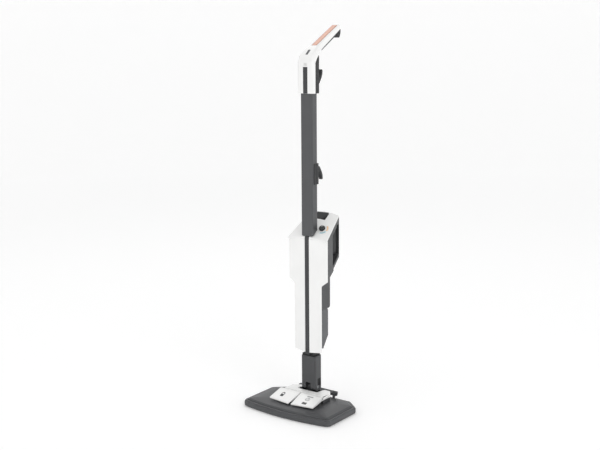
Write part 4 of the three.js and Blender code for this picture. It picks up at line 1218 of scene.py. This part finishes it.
    def _cap(self) -> None:
        """The filler cap: a fluted rim, a sunk face with a grip bar, and the plug behind."""
        low, high = node_box("tank_cap")
        outer, z = high.y, ((low + high) * 0.5).z
        cap = Shape.rod("cap", 13.8, (0, outer - 5.6, z), (0, outer, z), 72)
        cap.raise_faces(lambda f: f.normal.y > 0.9, 1.8, -1.4)
        cap.cut(ring_of(24, 14.3, lambda x, up: Shape.rod(
            "flute", 0.9, (x, outer - 6, z + up), (x, outer + 1, z + up), 12)))
        cap.weld(Shape.block("grip", (-9.5, outer - 2, z - 1.8), (9.5, outer - 0.1, z + 1.8)),
                 Shape.rod("plug", 9.8, (0, low.y, z), (0, outer - 4, z)))
        cap.soften(0.3).dress("filler_cap", Finishes.black, "tank_cap", "tank_cap")

    def _inside(self) -> None:
        """The parts inside the casing, the hand trigger and the cable gland."""
        plain("boiler", 1.6, "boiler_shell", Finishes.steel, "portable_unit", 3)
        plain("pump", 1.0, "water_pump", Finishes.brass, "portable_unit")
        plain("circuit_board", 0.2, "control_board", Finishes.laminate, "portable_unit", 1)
        plain("outlet_nozzle", 0.3, "steam_nozzle", Finishes.brass, "portable_unit")
        lever = Shape.of_node("hand_trigger").bevel(long_edge(Axis.X, 10, 12), 1.4, 3)
        lever.soften(0.6).dress("hand_lever", Finishes.black, "hand_trigger")
        plain("cord_gland", 0.4, "cable_gland", Finishes.rubber, "portable_unit")


# ---- studio
@dataclass
class Studio:
    """A pale sweep, soft lights and the camera."""

    azimuth: float = 36.1
    distance: float = 2999.75
    height: float = 1109.2
    tilt: float = 10.37
    swing: float = 0.541
    roll: float = 0.43
    lens: float = 61.42
    sensor: float = 36.0
    floor_radius: float = 7500.0
    wall_height: float = 4200.0
    wall_bend: float = 1900.0

    def build(self) -> None:
        """Sets up the sweep, the lights and the camera."""
        self._sweep()
        self._camera()
        self._light("key_softbox", (2900, -1300, 2300), (0, 0, 600), 1600, 17)
        self._light("front_softbox", (-700, -3600, 2000), (0, 0, 550), 2200, 3)
        self._light("back_softbox", (-1450, 1250, 2900), (0, 0, 900), 1500, 6)
        world = bpy.data.worlds.new("studio_air")
        bpy.context.scene.world = world
        world.use_nodes = True
        set_inputs(world.node_tree.nodes["Background"],
                   {"Color": linear("FFFFFF"), "Strength": 0.8})
        bpy.context.scene.view_settings.view_transform = "Standard"

    def _sweep(self) -> None:
        """The pale round floor whose edge curves up into a low wall all the way round."""
        top = (0, 0, self.wall_height)
        floor = Shape.rod("studio_floor", self.floor_radius, (0, 0, 0), top, 96)
        floor.open_up(lambda f: f.normal.z > 0.9)
        floor.bevel(lambda e: near(e.mid.z, 0, 1), self.wall_bend, 12).turn_inside_out().pick()
        bpy.ops.object.shade_smooth()
        material = bpy.data.materials.new("matt_white_floor")
        material.use_nodes = True
        set_inputs(material.node_tree.nodes["Principled BSDF"],
                   {"Base Color": linear("FAFAFA"), "Roughness": 0.8,
                    "Emission Color": linear("FFFFFF"), "Emission Strength": 0.12})
        floor.obj.data.materials.append(material)

    def _light(self, name: str, spot: Point, aim: Point, size: float, power: float) -> None:
        """A square soft light.

        Args:
            name: The light's name.
            spot: Where it stands, mm.
            aim: What it points at, mm.
            size: Its side, mm.
            power: Watts.
        """
        lamp = bpy.data.lights.new(name, "AREA")
        lamp.size = size * MM
        lamp.energy = power
        obj = bpy.data.objects.new(name, lamp)
        bpy.context.scene.collection.objects.link(obj)
        spot, aim = Vector(spot) * MM, Vector(aim) * MM
        obj.location = spot
        obj.rotation_euler = (aim - spot).to_track_quat("-Z", "Y").to_euler()

    def _camera(self) -> None:
        """The camera, level in height with the grip and looking slightly down."""
        turn = math.radians(self.azimuth)
        camera = bpy.data.cameras.new("studio_camera")
        camera.lens = self.lens
        camera.sensor_width = self.sensor
        obj = bpy.data.objects.new("studio_camera", camera)
        bpy.context.scene.collection.objects.link(obj)
        spot = Vector((math.sin(turn) * self.distance, -math.cos(turn) * self.distance,
                       self.height))
        facing = (Matrix.Rotation(turn + math.radians(self.swing), 4, "Z")
                  @ Matrix.Rotation(math.radians(90 - self.tilt), 4, "X")
                  @ Matrix.Rotation(math.radians(-self.roll), 4, "Z"))
        obj.matrix_world = Matrix.Translation(spot * MM) @ facing
        bpy.context.scene.camera = obj


def main() -> None:
    """Builds the mop around the frame."""
    logging.basicConfig(level=logging.INFO, format="%(name)s: %(message)s")
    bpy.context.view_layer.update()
    for assembly in (Studio(), FloorHead(), FootPedals(), NeckJoint(), SpineAndTube(),
                     GripHandle(), PortableUnit()):
        assembly.build()
        log.info("%s is built", type(assembly).__name__)


if __name__ == "__main__":
    main()
